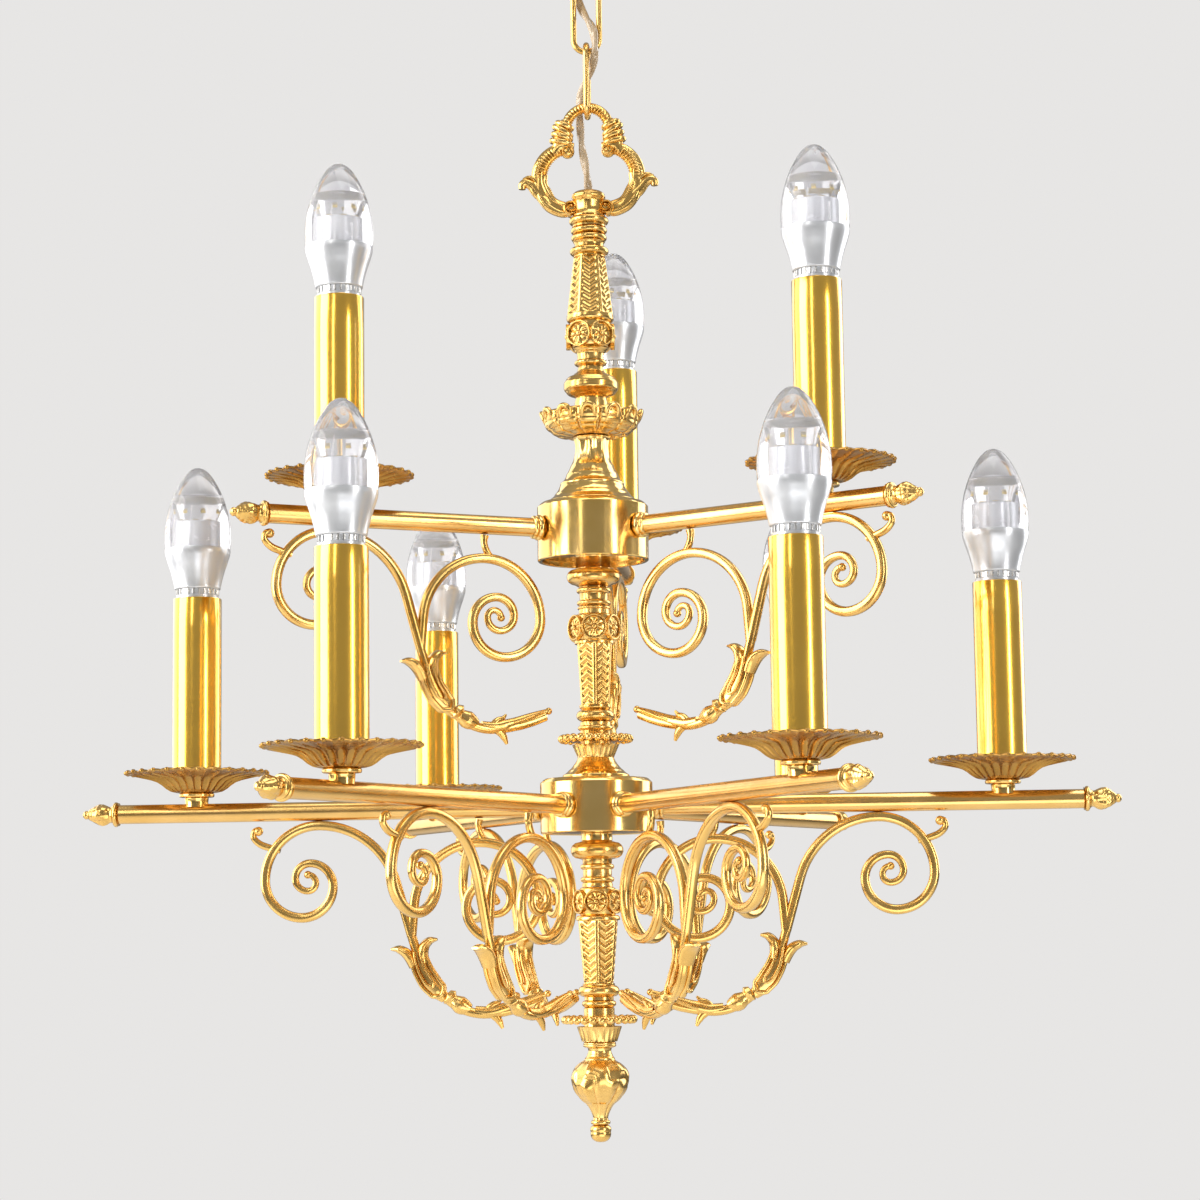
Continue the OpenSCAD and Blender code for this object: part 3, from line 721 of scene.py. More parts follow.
def upper_baluster():
    turn = FRONT + HEX / 2
    form = rosette_band(14.4, 257.3, 273.9, turn, 1.6)
    shaft = fine(outline((11.5, 272), (13.3, 274.4, 0.5), (13.1, 276), (8.9, 309.6), (8.6, 311)), 0.4)
    form.add(sleeve(shaft, 216, chevrons(turn, 276.2, 309.6, -1)))
    column_piece(form, "upper_baluster")


def petal_cup():
    count = 12
    neck = outline((9.4, 210), (9.3, 226), (8.6, 229), (11.2, 230.4, -0.2), (14.2, 232.6, 0.5),
        (15.2, 235.6, 0.5), (14.2, 238.8, 0.5), (11.4, 241.2, 0.5), (9.4, 242.6, -0.2),
        (7.4, 245, -0.4), (7, 246.6), *bead(9.2, 248.9, 2.8), (7.6, 251.2), (7.5, 253.4, -0.1),
        (8.6, 255.2, -0.3), (10.2, 257, -0.2))

    def petals(angle, r, z):
        """Soft gadroons under the cup grow into petals that stand apart at the rim."""
        out = max(0.0, (r - 10.5) / 16.5)
        lobe = abs(cos(count / 2 * angle))
        gap = 1 - sqrt(max(0.0, 1 - (1 - lobe) ** 2))
        under = clamp((218.5 - z) / 6) * min(1.0, out * 2)
        return r - out * 1.2 * gap, z + 1.0 * under * gap

    shell = fine(outline((9.3, 207.2), (17.4, 207.9, 0.4), (23.2, 210.4, 1), (26.2, 214.2, 0.8),
        (26.9, 218, 0.4), (26, 220.2, 0.5), (24.2, 219.8, 0.5), (23, 217.2), (20.8, 214.6),
        (16.6, 213.1), (9.3, 212.6)), 0.6)
    form = sleeve(neck, 96)
    form.add(sleeve(shell, 288, petals))
    lip = Form()
    horseshoe = smooth([(-5.0, -2.5, -1.0), (-2.6, -3.3, 0.1), (0.4, -3.4, 0.8), (2.7, -2.3, 1.1),
        (3.6, 0, 1.2), (2.7, 2.3, 1.1), (0.4, 3.4, 0.8), (-2.6, 3.3, 0.1), (-5.0, 2.5, -1.0)], 5)
    lip.add(rod(horseshoe, lambda t: (1.5 - 0.9 * abs(2 * t - 1) ** 3,) * 2, n=14, side=Z))
    inner = smooth([(-3.2, -1.2, 0.1), (-0.8, -1.7, 0.5), (1.2, 0, 0.7), (-0.8, 1.7, 0.5),
        (-3.2, 1.2, 0.1)], 5)
    lip.add(rod(inner, lambda t: (0.7 - 0.4 * abs(2 * t - 1) ** 3,) * 2, n=10, side=Z))
    tilt = Matrix.Rotation(radians(103), 4, "Y") @ Matrix.Rotation(pi, 4, "Z")
    for angle in turns(count):
        form.add(lip, around(angle, 25.9, 217.6) @ tilt)
    column_piece(form, "petal_cup")


def bell_neck():
    def flutes(angle, r, z):
        share = clamp((z - 188) / 12)
        return r - 0.9 * share * abs(sin(4 * angle)) ** 1.3 * (1 if z < 206 else 0.6), z
    shape = outline((25.2, 169.5), (25, 170.4, 0.1), (23.4, 171.6, -0.1), (21, 174.2, -0.3),
        (18.4, 178.4, -0.3), (17.9, 179.4), (17.4, 180.8, 0.3), (16.2, 181.8), (14.4, 185.4, -0.2),
        (12, 190.4, -0.2), (10, 195.6, -0.2), (9.3, 200, -0.1), (9.5, 203.4, -0.1),
        (10.3, 205.8, -0.1), (10.4, 206.6, 0.2), (9.4, 207))
    column_piece(sleeve(fine(shape, 0.9), 160, flutes), "bell_neck", "brass_polished")


def hub(node, low, high):
    """Inverted cup of polished sheet with a bevelled shoulder and a turned-in mouth."""
    r, wall = 31.0, 2.5
    shell = outline((r - wall, high - wall), (r - wall, low + 0.3), (r - wall + 0.4, low),
        (r - 0.5, low), (r, low + 0.5), (r, high - 2.6), (r - 0.3, high - 2.2), (r - 1.9, high - 0.6),
        (r - 2.5, high - 0.2), (BORE, high), (BORE, high - wall))
    column_piece(lathe(shell, 192, loop=True), node, "brass_polished", 30)


def upper_hub_cover():
    turned_piece("upper_hub_cover", (9.4, 132), (9.8, 132.5, 0.2), (9.8, 138.4), (11, 139.5, -0.3),
        (27.6, 139.6), (28.2, 140.2, 0.1), (28.2, 141.4), (10, 141.5), n=128, slot="brass_polished")


def lower_hub_cover():
    turned_piece("lower_hub_cover", (8.1, -19), (8.5, -18.5), (8.5, -15.2), (9.4, -14.5, -0.2),
        (27.6, -14.4), (28.2, -14, 0.1), (28.2, -12.8), (10, -12.7), n=128, slot="brass_polished")


def middle_knop():
    turned_piece("middle_knop", (8.5, 107), (8.4, 109.2), *bead(9.2, 110.2, 1.6), (8, 111.4),
        *bead(9.5, 113, 2.8), (7.9, 115), (7.9, 118), *bead(9.6, 120, 3), (8.2, 122),
        *bead(15, 127.7, 8.2), (8.5, 132))


def middle_baluster():
    turn = FRONT
    form = rosette_band(13.9, 91, 106.8, turn)
    shaft = fine(outline((8, 54), (8.7, 55.2, 0.2), (8.8, 56), (10.9, 89.8), (11, 91),
        (10.2, 92.4, 0.3)), 0.45)
    form.add(sleeve(shaft, 192, chevrons(turn, 56.4, 90, 1)))
    column_piece(form, "middle_baluster")


def middle_bead_cup():
    form = fluted_cup((13, 34), (10, 27))
    form.add(beaded_collar(21, 37.4))
    form.add(sleeve(outline((8.4, 34.5), (8.4, 41.8), *bead(9.8, 43.4, 2.6), (8.4, 45), (8.4, 46.6),
        *bead(10.5, 50.3, 6.2), (8, 54)), 96))
    column_piece(form, "middle_bead_cup")


def lower_bell():
    column_piece(sleeve(fine(outline((18.1, 15.7), (18.4, 16.4, 0.2), (18.1, 17.6, 0.2),
        (15.2, 20, -0.2), (12.4, 22.9, -0.2), (10.6, 25.5, -0.1), (9.9, 27)), 1), 96), "lower_bell",
        "brass_polished")


def lower_knop():
    turned_piece("lower_knop", (8.4, -44), (8.3, -42.2), *bead(9.3, -40, 3), (7.9, -38), (7.9, -35),
        *bead(9.3, -33, 3), (8, -31), (8.2, -29), *bead(14.6, -24, 9), (8.4, -19))


def lower_baluster():
    turn = FRONT - radians(4)
    form = rosette_band(13.1, -60, -44.2, turn)
    shaft = fine(outline((7.9, -99), (8.9, -96.8, 0.2), (12, -63, 0), (12.2, -61.4), (11, -59.6, 0.3)),
        0.45)
    form.add(sleeve(shaft, 192, chevrons(turn, -96.4, -62.4, -1)))
    form.add(sleeve(outline((8, -104), *bead(11.3, -100.7, 6.2), (8, -97.4)), 96))
    column_piece(form, "lower_baluster")


def lower_bead_cup():
    form = fluted_cup((12.3, -120), (9.7, -128))
    form.add(beaded_collar(21, -116.2))
    form.add(sleeve(outline((8.4, -120), (8.4, -110), *bead(9.4, -107.6, 3.6), (8, -105.6), (8, -104)),
        96))
    column_piece(form, "lower_bead_cup")


def finial():
    """Bud with two tiers of curled leaves, a waisted stem and a ball."""
    def leaves(angle, r, z):
        if not -171 < z < -137:
            return r, z
        share = (z + 171) / 34
        upper = clamp((z + 153) / 5)
        fold = 1.5 * (abs(cos(3 * angle + 0.6)) ** 0.7 - 0.8) + 0.28 * cos(12 * angle)
        swirl = cos(4 * angle + 8 * share) + 0.5 * cos(9 * angle - 10 * share + 1)
        leaf = 1.1 * copysign(abs(swirl / 1.5) ** 0.5, swirl) - 0.45
        fade = sin(pi * share) ** 0.5 * min(1, r / 10)
        return r + fade * ((1 - upper) * fold + upper * leaf), z

    shape = fine(outline((0.001, -182), (5.5, -176.5, 2.2), (3.9, -172.9, 0.9), (4.2, -172.6),
        (5.3, -171.6, 0.4), (4.2, -170.4, 0.4), (4, -169), (5.4, -165, -0.15), (7.8, -161.4, -0.2),
        (11.6, -157.6, 0.3), (14.5, -153, 0.35), (15.4, -148, 0.35), (14.2, -143, 0.4),
        (11, -139.6, 0.2), (8.6, -138, -0.1), (8.2, -137), (7, -135.2, -0.2), (6.2, -133, -0.1),
        (6.6, -131.6), (8.4, -131), (8.8, -129.6, 0.4), (8.2, -128.2, 0.4), (5.2, -128)), 0.5)
    form = lathe([(0, -182)] + shape + [(0, -128)], 192, leaves)
    column_piece(form, "finial")


# ---- hanging loop

def binding(form, centre, wide, deep, tube, lean):
    """One round of the cord-like binding of a knot: an oval ring that leans in the XZ plane."""
    out = Vector((cos(lean), 0, sin(lean)))
    up = Vector((-sin(lean), 0, cos(lean)))
    rows = []
    for angle in turns(40):
        radial = (cos(angle) * deep * out + Vector((0, sin(angle) * wide, 0))).normalized()
        spot = Vector(centre) + cos(angle) * wide * out + Vector((0, sin(angle) * deep, 0))
        rows.append([spot + tube * (cos(spin) * radial + sin(spin) * up) for spin in turns(12)])
    form.grid(rows, loop=True)


def cast_rod(points, widths, depths, relief=None, n=24, step=0.35):
    """Rod through (x, z) points, with half widths, half depths and a relief over its length."""
    path = smooth(xz(points), 10)
    total = sum((q - p).length for p, q in zip(path, path[1:]))
    count = max(8, int(total / step))
    line, travelled, i = [path[0]], 0.0, 0
    for k in range(1, count + 1):
        goal = total * k / count
        while i < len(path) - 2 and travelled + (path[i + 1] - path[i]).length < goal:
            travelled += (path[i + 1] - path[i]).length
            i += 1
        part = (path[i + 1] - path[i]).length
        line.append(path[i].lerp(path[i + 1], min(1.0, (goal - travelled) / part)))
    form, rows = Form(), []
    for k, point in enumerate(line):
        run = (line[min(k + 1, count)] - line[max(k - 1, 0)]).normalized()
        deep = Y
        wide = deep.cross(run)
        t = k / count
        w, d = between(widths, t), between(depths, t)
        row = []
        for angle in turns(n):
            extra = relief(total * t, angle) if relief else 0
            row.append(point + (w + extra) * cos(angle) * wide + (d + extra * 0.7) * sin(angle) * deep)
        rows.append(row)
    form.grid(rows)
    return form


def cast_all(form, *rods):
    """Adds rods given by their points, half widths and half depths."""
    for points, widths, depths in rods:
        form.add(cast_rod(points, widths, depths))


def ring_arc(centre, radius, start, end):
    """(x, z) points about every 12 degrees on an arc, angles in degrees."""
    count = max(2, int(abs(end - start) / 12))
    angles = [radians(start + (end - start) * k / count) for k in range(count + 1)]
    return [(centre[0] + radius * cos(angle), centre[1] + radius * sin(angle)) for angle in angles]


def gadroon(length, angle):
    """Fine cross ribs that leave a plain rim along the outer side."""
    inside = clamp((0.45 - cos(angle)) / 0.25)
    return 0.7 * inside * (0.3 + 0.7 * abs(sin(angle))) * (cos(TAU * length / 1.9) - 0.7)


def loop_side():
    """Right half of the trefoil loop: lobe, leaf with its curled tip, volute, knot and ball end."""
    centre = (10.9, 356.6)
    lower = [(x, z - 1.9 * max(0, (356 - z) / 17)) for x, z in ring_arc(centre, 16.9, -118, 4)]
    upper = ring_arc(centre, 16.9, -6, 100)

    def swell(length, angle):
        return 0.3 * cos(TAU * length / 13 + 2 * angle)
    form = cast_rod(lower, [3.0, 3.9, 4.4, 4.8, 4.6], [2.4, 2.7, 2.8, 2.7, 2.6], swell)
    leaf = ([(7.6, 335.6), (15, 335.4), (22.4, 339.2), (27, 345), (29.4, 351.6)],
            [0.8, 2.0, 2.5, 2.3, 1.2], [2.9, 3.3, 3.4, 3.2, 2.2])
    leaf_ridge = ([(14.6, 339.6), (19.4, 342.4), (23.4, 347.6), (25.8, 354), (26, 360.5)],
                  [0.6, 1.3, 1.6, 1.5, 0.5], [2.8, 3.3, 3.4, 3.2, 2.2])
    cast_all(form, leaf, leaf_ridge)
    form.add(cast_rod(upper, [4.6, 4.5, 4.3, 3.9, 3.3], [2.6, 2.6, 2.5, 2.4, 2.4], gadroon, step=0.2))
    form.add(cast_rod([(19.4, 370.6), (16.4, 374), (12.8, 374.6), (10.6, 372)], [2.6, 2.8, 2.8, 2.4],
        [2.5, 2.9, 3.4, 3.2]))
    form.add(ball(3.9, (11.5, 0, 371.4), (1, 0.95, 1), 24, 16))
    form.add(rod(turtle([(2.4, 240), (1.4, 260)], 11.3, 368.9, 0), lambda t: (0.75, 3.9), n=12))
    form.add(cast_rod([(11.9, 389.4), (13.2, 385.4), (14.6, 380.8), (16, 376), (17.2, 372.6)],
        [3.0, 4.0, 4.4, 4.2, 3.2], [2.4, 2.9, 3.2, 3.0, 2.6]))
    rounds = [(13.2, 386.6, 4.2, 24), (14.2, 383.4, 5.2, 32), (14.6, 380.3, 5.0, 20), (15.2, 377.0, 5.2, 12)]
    for x, z, wide, lean in rounds:
        binding(form, (x, 0, z), wide, 3.2, 1.7, radians(lean))
    tip = ([(25.4, 345.4), (29.2, 348.8), (32.2, 352.4), (35.2, 354), (37.4, 352.8), (37.6, 350.4)],
           [3.4, 3.6, 3.2, 2.9, 2.6, 2.0], [2.6, 2.8, 2.9, 2.9, 2.7, 2.2])
    tip_ridge = ([(27.6, 351.4), (30.6, 355.6), (33.8, 357), (37, 356)],
                 [1.3, 1.5, 1.3, 0.8], [2.4, 2.9, 2.8, 1.8])
    cast_all(form, tip, tip_ridge)
    volute = turtle([(3.5, 200), (2.5, 180), (1.5, 180)], 10.0, 334.6, 0)
    form.add(rod(volute, lambda t: (1.3 - 0.4 * t, 4.4), n=16))
    form.add(ball(1.3, tuple(volute[-1]), (1, 3.6, 1), 14, 10))
    return form


def hanging_loop():
    arch = ring_arc((0, 384.6), 12.1, -14, 194)
    form = cast_rod(arch, [3.0] * 7, [2.5] * 7, gadroon, step=0.2)
    side = loop_side()
    form.add(side)
    form.add(side, Matrix.Scale(-1, 4, (1, 0, 0)))

    def lobes(angle, r, z):
        share = clamp((z - 335) / 3) * clamp((348.4 - z) / 3)
        return r * (1 - 0.045 * share * (0.5 + 0.5 * cos(6 * angle))), z
    cap = outline((9.2, 333), (8.9, 334.2, 0.2), (8.1, 336), (8.0, 339, -0.1), (8.5, 342, -0.1),
        (9.6, 343.6, 0.1), (9.8, 344.8, 0.3), (8.8, 346.4, 0.3), (6.2, 347.8, 0.3), (3.4, 348.3, 0.1))
    form.add(lathe([(BORE, 344), (BORE, 333)] + fine(cap, 0.7) + [(3.4, 344)], 96, lobes, loop=True))
    make(form, "loop_casting", "lamp", "brass_cast", "hanging_loop", place=at(z=LOWER_Z))


# ---- arms

def arm_place(i, x=0.0):
    """The frame of arm i: +X outwards along it, moved by x."""
    return at(z=TIER_Z[i]) @ around(BEARINGS[i], x)


def arm_name(i):
    return f"lower_arm_{i + 1}" if i < 6 else f"upper_arm_{i - 5}"


def copies(name, form, slot, node, reach=(0,) * 9, sharp=38):
    """The same mesh on every arm, reach out along it; the first copy stands for the CAD nodes."""
    on_bulb = node == "bulb"
    first = make(form, f"{name}_1", None, slot, sharp=sharp)
    for i in range(9):
        piece = first
        if i:
            piece = bpy.data.objects.new(f"{name}_{i + 1}", first.data)
            scene.collection.objects.link(piece)
        spot = arm_place(i, reach[i])
        spot.translation = spot.translation * MM
        piece.matrix_world = spot
        if on_bulb:
            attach(piece, f"bulb_{i + 1}")
        else:
            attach(piece, "lamp")
        if i == 0 and not on_bulb:
            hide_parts(*node.split())


def arms():
    bore, start, edge = 4.2, TUBE_START, 0.3
    for i in range(9):
        end = TUBE_END[i]
        shape = [(bore, start), (TUBE_R - edge, start), (TUBE_R, start + edge)]
        shape += [(TUBE_R, start + (end - start) * k / 12) for k in range(1, 12)]
        shape += [(TUBE_R, end - edge), (TUBE_R - edge, end), (bore, end)]
        make(lathe(shape, 48, loop=True), f"arm_tube_{i + 1}", "lamp", "brass_arm", arm_name(i),
             place=arm_place(i) @ ALONG_X)


def arm_collar():
    shape = outline((5.3, 31.1), (6.6, 31.15), *bead(7.2, 33.1, 3.6), (6.2, 35), (6.4, 35.4),
        (6.1, 36.8, 0.2), (5.3, 37.1))
    form = Form().add(lathe(shape, 48, loop=True), ALONG_X)
    copies("arm_collar", form, "brass_polished", "arm_collars")


def arm_finial():
    """Ringed socket, waist, leafy bud and tip at the end of an arm; heights from the end of the tube."""
    def leaves(angle, r, z):
        if not 4.6 < z < 17.4:
            return r, z
        share = (z - 4.6) / 12.8
        fold = (0.75 * cos(3 * angle + 2.6 * share) + 0.35 * cos(6 * angle - 5 * share + 1)
                + 0.16 * cos(13 * angle))
        return r + 0.7 * sin(pi * share) ** 0.8 * (fold - 0.2) * min(1, r / 5), z
    shape = outline((0.001, -2), (4.1, -2), (4.1, 0), (6.4, 0.1), *bead(6.9, 1.75, 2.6), (5.4, 3.3),
        (4.7, 4, -0.1), (4.4, 4.8), (4.9, 6.4, -0.1), (5.6, 8.4, 0.1), (5.7, 10.4, 0.2),
        (5.1, 12.8, 0.3), (3.9, 15.2, 0.2), (2.7, 17, 0.1), (2.2, 17.8, -0.1), (2.4, 18.6, 0.1),
        (1.7, 19.8, 0.2), (0.001, FINIAL_LENGTH, 0.3))
    form = Form().add(lathe([(0, -2)] + fine(shape, 0.5) + [(0, FINIAL_LENGTH)], 72, leaves), ALONG_X)
    copies("arm_finial", form, "brass_cast", "arm_finials", TUBE_END)


def candle_boss():
    """Turned boss seated on the arm, with a flange under the pan."""
    def saddle(angle, r, z):
        if z > 4:
            return r, z
        seat = sqrt(max(0.0, (TUBE_R + 0.07) ** 2 - (r * sin(angle)) ** 2))
        return r, max(3.4, seat)
    shape = [(4.05, 3), (4.8, 3), (5.6, 3), (6.3, 3)] + outline((6.4, 5.6), (6.6, 7.9),
        (6.3, 8.4, 0.2), (6.9, 8.7), (9.2, 8.9), (9.7, 9.6, 0.2), (9.5, 10.8, 0.2), (9, 11.2),
        (4.05, 11.2))
    copies("candle_boss", lathe(shape, 96, saddle, loop=True), "brass_polished", "candle_bosses",
        CANDLE_R)


PAN_FLUTES = 28


def drip_pan():
    """Fluted pan: deep folds in the bowl that run out into a scalloped, beaded flange."""
    under = [(9, 11.25), (11.4, 11.5), (14.4, 12.6), (17, 14.4), (19.4, 16.6), (22, 18.3), (25, 19.3),
        (28.6, 20), (32.6, 20.7), (36, 21.2), (39, 21.7)]
    over = [(r - 0.1, z + 1.3) for r, z in reversed(under[1:])]

    def flutes(angle, r, z):
        share = max(0.0, (r - 11) / 28.4)
        fold = abs(cos(PAN_FLUTES / 2 * angle))
        deep = 1.9 * sin(min(1, share * 2.6) * pi * 0.5) * (1 - 0.7 * max(0, share - 0.45) / 0.55)
        slow = 0.3 * cos(3 * angle + 1)
        scallop = 0.5 * max(0, share - 0.75) / 0.25
        return r - scallop * (1 - fold), z + share * slow - deep * (1 - fold ** 0.5) * 0.9 + deep * 0.4
    shape = fine([(4.1, 11.25)] + under, 0.9) + fine([(39.6, 22.2)] + over, 0.9) + [(4.1, 12.45)]
    form = lathe(shape, PAN_FLUTES * 12, flutes, loop=True)
    for angle in turns(PAN_FLUTES):
        form.add(ball(1.5, polar(38.8, angle, 22.4), (1, 1, 0.85), 16, 10))
        inner = angle + TAU / PAN_FLUTES / 2
        form.add(ball(0.9, polar(37, inner, 22.3), (1.5, 1.1, 0.8), 12, 8))
    copies("drip_pan", form, "brass_pan", "drip_pans", CANDLE_R, sharp=60)


def candle_sleeve():
    r, wall, foot, top = 13.5, 0.8, 13.8, 120.0
    shape = [(r - wall, foot)] + outline((r - 0.3, foot), (r, foot + 0.3)) + [(r,
        foot + (top - foot) * k / 6) for k in range(1, 6)]
    shape += outline((r, top - 0.4), (r - 0.2, top), (r - wall, top))
    copies("candle_sleeve", lathe(shape, 96, loop=True), "brass_satin", "candle_sleeves", CANDLE_R)


# ---- bulbs

# Each part of one LED candle bulb stands about its own axis; heights are from the arm axis.


def bulb_base():
    """Ringed neck and flared white body."""
    base = [(0, 117.4)] + outline((11, 117.6), (11.5, 118), (11.7, 121.6), (11.2, 122), (11.2, 125),
        (12.6, 125.4), (12.9, 126.2, 0.1), (14.4, 133, -0.1), (16.6, 140, -0.1), (18, 144.6, 0),
        (18.35, 146.6), (18.2, 148), (17.6, 148.2), (17.2, 147.4)) + [(0, 147.2)]
    return lathe(fine(base, 2), 96)


def bulb_ribs():
    """Fins of the slotted ring under the body."""
    form = Form()
    fin = rod([(0, 0, 122.1), (0, 0, 124.9)], lambda t: (0.55, 0.7), n=8)
    for angle in turns(24):
        form.add(fin, around(angle, 11.5))
    return form


def bulb_cap():
    """E14 screw cap with its contact."""
    cap = [(0, 91), (3, 91), (3.4, 91.6), (3.4, 93.4), (4.4, 94), (6.2, 96.6), (6.5, 97.4)]
    z = 98.0
    while z < 111:
        cap += [(6.45, z), (6.93, z + 0.8), (6.93, z + 1.2), (6.45, z + 2)]
        z += 2.6
    cap += [(6.9, 112.4), (6.9, 116.6), (8.4, 117.4), (0, 117.5)]
    return lathe(fine(cap, 2), 48)


def bulb_glass():
    """Closed envelope of even wall."""
    outer = [(18.15, 147.4), (18.45, 151), (18.5, 156), (18.2, 161), (17.4, 166.6), (15.8, 173),
        (13.4, 179.6), (10.4, 185.6), (7.2, 190.4), (3.9, 193.4), (1.5, 194.4), (0, 194.5)]
    wall = smooth(xz(outer), 5)
    skin = [(point.x if point.x > 0.02 else 0, point.z) for point in wall]
    inside = []
    for i, (r, z) in enumerate(skin):
        a, b = skin[max(i - 1, 0)], skin[min(i + 1, len(skin) - 1)]
        length = hypot(b[0] - a[0], b[1] - a[1])
        inside.append((max(0, r - GLASS_WALL * (b[1] - a[1]) / length),
            z + GLASS_WALL * (b[0] - a[0]) / length))
    inside[-1] = (0, skin[-1][1] - GLASS_WALL)
    return lathe(skin + inside[::-1] + [skin[0]], 96)


def bulb_post():
    """Post that carries the light guide."""
    return lathe([(0, 147)] + outline((11.5, 147.2), (11.5, 148), (8.2, 148.4), (8.2, 148.9),
        (8, 162.4), (7.6, 163, 0.1)) + [(0, 163)], 72)


def bulb_guide():
    """Faceted clear light guide."""
    def facets(angle, r, z):
        return (r * (1 - 0.035 * abs(sin(4 * angle))), z) if z > 163.5 else (r, z)
    return lathe(fine([(0, 163.05), (7, 163.05), (7.4, 163.8), (8.2, 167), (9.4, 171), (10.8, 175.4),
        (10.6, 176.2), (9.2, 176.3), (7, 174), (4.4, 172.4), (0, 172)], 1.5), 72, facets)


def bulb_chips():
    """Two rings of light chips."""
    form, chip = Form(), Form()
    corners = ((-1.3, -1.0), (1.3, -1.0), (1.3, 1.0), (-1.3, 1.0))
    chip.grid([[(x, y, z) for x, y in corners] for z in (0, 0.6)])
    lean = Matrix.Rotation(radians(75), 4, "Y")
    for angle in turns(6, 0.5):
        form.add(chip, around(angle, 5.2, 163.1))
        form.add(chip, around(angle + 0.5, 7.7, 168) @ lean)
    return form


BULB_PARTS = {
    "body": (bulb_base, "bulb_base"),
    "ribs": (bulb_ribs, "bulb_cap"),
    "cap": (bulb_cap, "bulb_cap"),
    "glass": (bulb_glass, "bulb"),
    "post": (bulb_post, "bulb_post"),
    "guide": (bulb_guide, "bulb_guide"),
    "chips": (bulb_chips, "bulb_chip"),
}


def bulbs():
    for part, (build_part, slot) in BULB_PARTS.items():
        copies(f"bulb_{part}", build_part(), slot, "bulb", CANDLE_R)
    for i in range(1, 10):
        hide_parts(f"bulb_{i}")


# ---- scroll brackets

OUTER_SCROLL = [(0, 30), (45, -74), (30, -90), (20.8, -90), (17.2, -90), (12.8, -90), (8.3, -90),
    (7, -90), (4.5, -180)]
INNER_SCROLL = [(0, 17.4), (36.6, 85), (32.5, 90), (21.7, 90), (18.5, 90), (14.5, 90), (10, 90),
    (8.5, 90), (7.2, 90), (4, 180)]
STEM = [(75, -30), (30, -50), (90, -20)]
JOINT = (103, -69.3)


def scroll_rod(moves, heading):
    path = turtle(moves, *JOINT, heading, step=6)

    def size(t):
        thin = 2.7 - 1.0 * max(0, (t - 0.72) / 0.28)
        return thin, thin
    form = rod(path, size, n=16, power=2.6)
    eye = path[-1]
    form.add(ball(2.2, tuple(eye), (1, 1.1, 1), 16, 10))
    return form


def calyx():
    """Flat tulip over the foot of the scrolls: hollow face, U-shaped borders, two curled tips."""
    spine = [(84.6, -104.4), (88.4, -99.8), (93, -94.6), (96.8, -88.2), (98.8, -82.4), (99.6, -78)]
    widths, depths = [2.4, 5.0, 5.8, 5.4, 4.9, 4.6], [2.8, 4.2, 4.8, 5.0, 4.8, 4.6]
    form = cast_rod(spine, widths, [0.75 * depth for depth in depths])
    outer_tip = ([(101.6, -86), (103.8, -81.6), (106.6, -78.4), (110.4, -76.6), (114.4, -76.6)],
                 [2.9, 3.1, 2.9, 2.3, 0.7], [4.6, 5.2, 5.4, 4.6, 2.2])
    inner_tip = ([(96.2, -84.4), (96.8, -79.4), (96, -75.2), (93, -72.2), (88.8, -71.4)],
                 [2.9, 3.1, 2.9, 2.3, 0.7], [4.6, 5.2, 5.4, 4.6, 2.2])
    cast_all(form, outer_tip, inner_tip)
    line = smooth(xz(spine), 6)
    last = len(line) - 1

    def edge_point(k, share, side):
        run = (line[min(k + 1, last)] - line[max(k - 1, 0)]).normalized()
        off = share * between(widths, k / last)
        lift = between(depths, k / last) * sqrt(max(0.0, 1 - share * share)) + 0.1
        return line[k] + Y.cross(run) * off + Vector((0, side * lift, 0))
    for side in (-1, 1):
        for reach, foot, thick in ((0.84, 5, 1.15), (0.36, 11, 0.75)):
            down = [edge_point(k, reach, side) for k in range(last, foot, -2)]
            turn = [edge_point(foot - 1 if share else foot - 2, share * reach, side)
                for share in (0.6, 0, -0.6)]
            up = [edge_point(k, -reach, side) for k in range(foot + 1, last + 1, 2)]
            form.add(rod(smooth(down + turn + up, 3), lambda t: (thick, thick), n=10,
                side=Vector((0.2, 0.9, 0.1))))
    return form


def stem_leaf():
    """Ringed knot, stem and the pronged leaf that reaches in towards the column."""
    form = rod(turtle(STEM, *JOINT, -104, step=6), lambda t: (2.6, 2.6), n=16)
    knots = ([(83.6, -101.6), (80.4, -104.6), (76, -107.6), (70.6, -109.8)],
             [3.2, 4.9, 3.2, 4.2, 5.0, 4.8, 4.0, 2.6], [3.2, 4.9, 3.2, 4.0, 4.6, 4.4, 3.6, 2.6])
    spine = ([(68, -110.6), (60, -111.4), (52, -109.6), (44, -107), (36, -104), (29, -102)],
             [2.6, 3.2, 3.4, 2.8, 2.4, 1.8, 1.5], [2.5, 3.0, 3.2, 2.8, 2.4, 1.9, 1.5])
    upper_prong = ([(62, -111), (58.4, -107.6), (55.6, -106.4), (53.4, -104.2)],
                   [2.2, 2.1, 1.5, 0.6], [2.2, 2, 1.5, 0.7])
    lower_prong = ([(60, -111.6), (56.4, -114.4), (54.6, -117), (53.1, -120.4)],
                   [2.4, 2.4, 1.9, 0.8], [2.2, 2.1, 1.7, 0.8])
    ridge = ([(50, -109), (43, -106.6), (36, -103.8), (31.6, -102.4)],
             [0.9, 1, 0.9, 0.6], [3.5, 3.4, 2.9, 2.2])
    cast_all(form, knots, spine, upper_prong, lower_prong, ridge)
    form.add(ball(2.0, (28.2, 0, -101.8), n=14, rings=9))
    return form


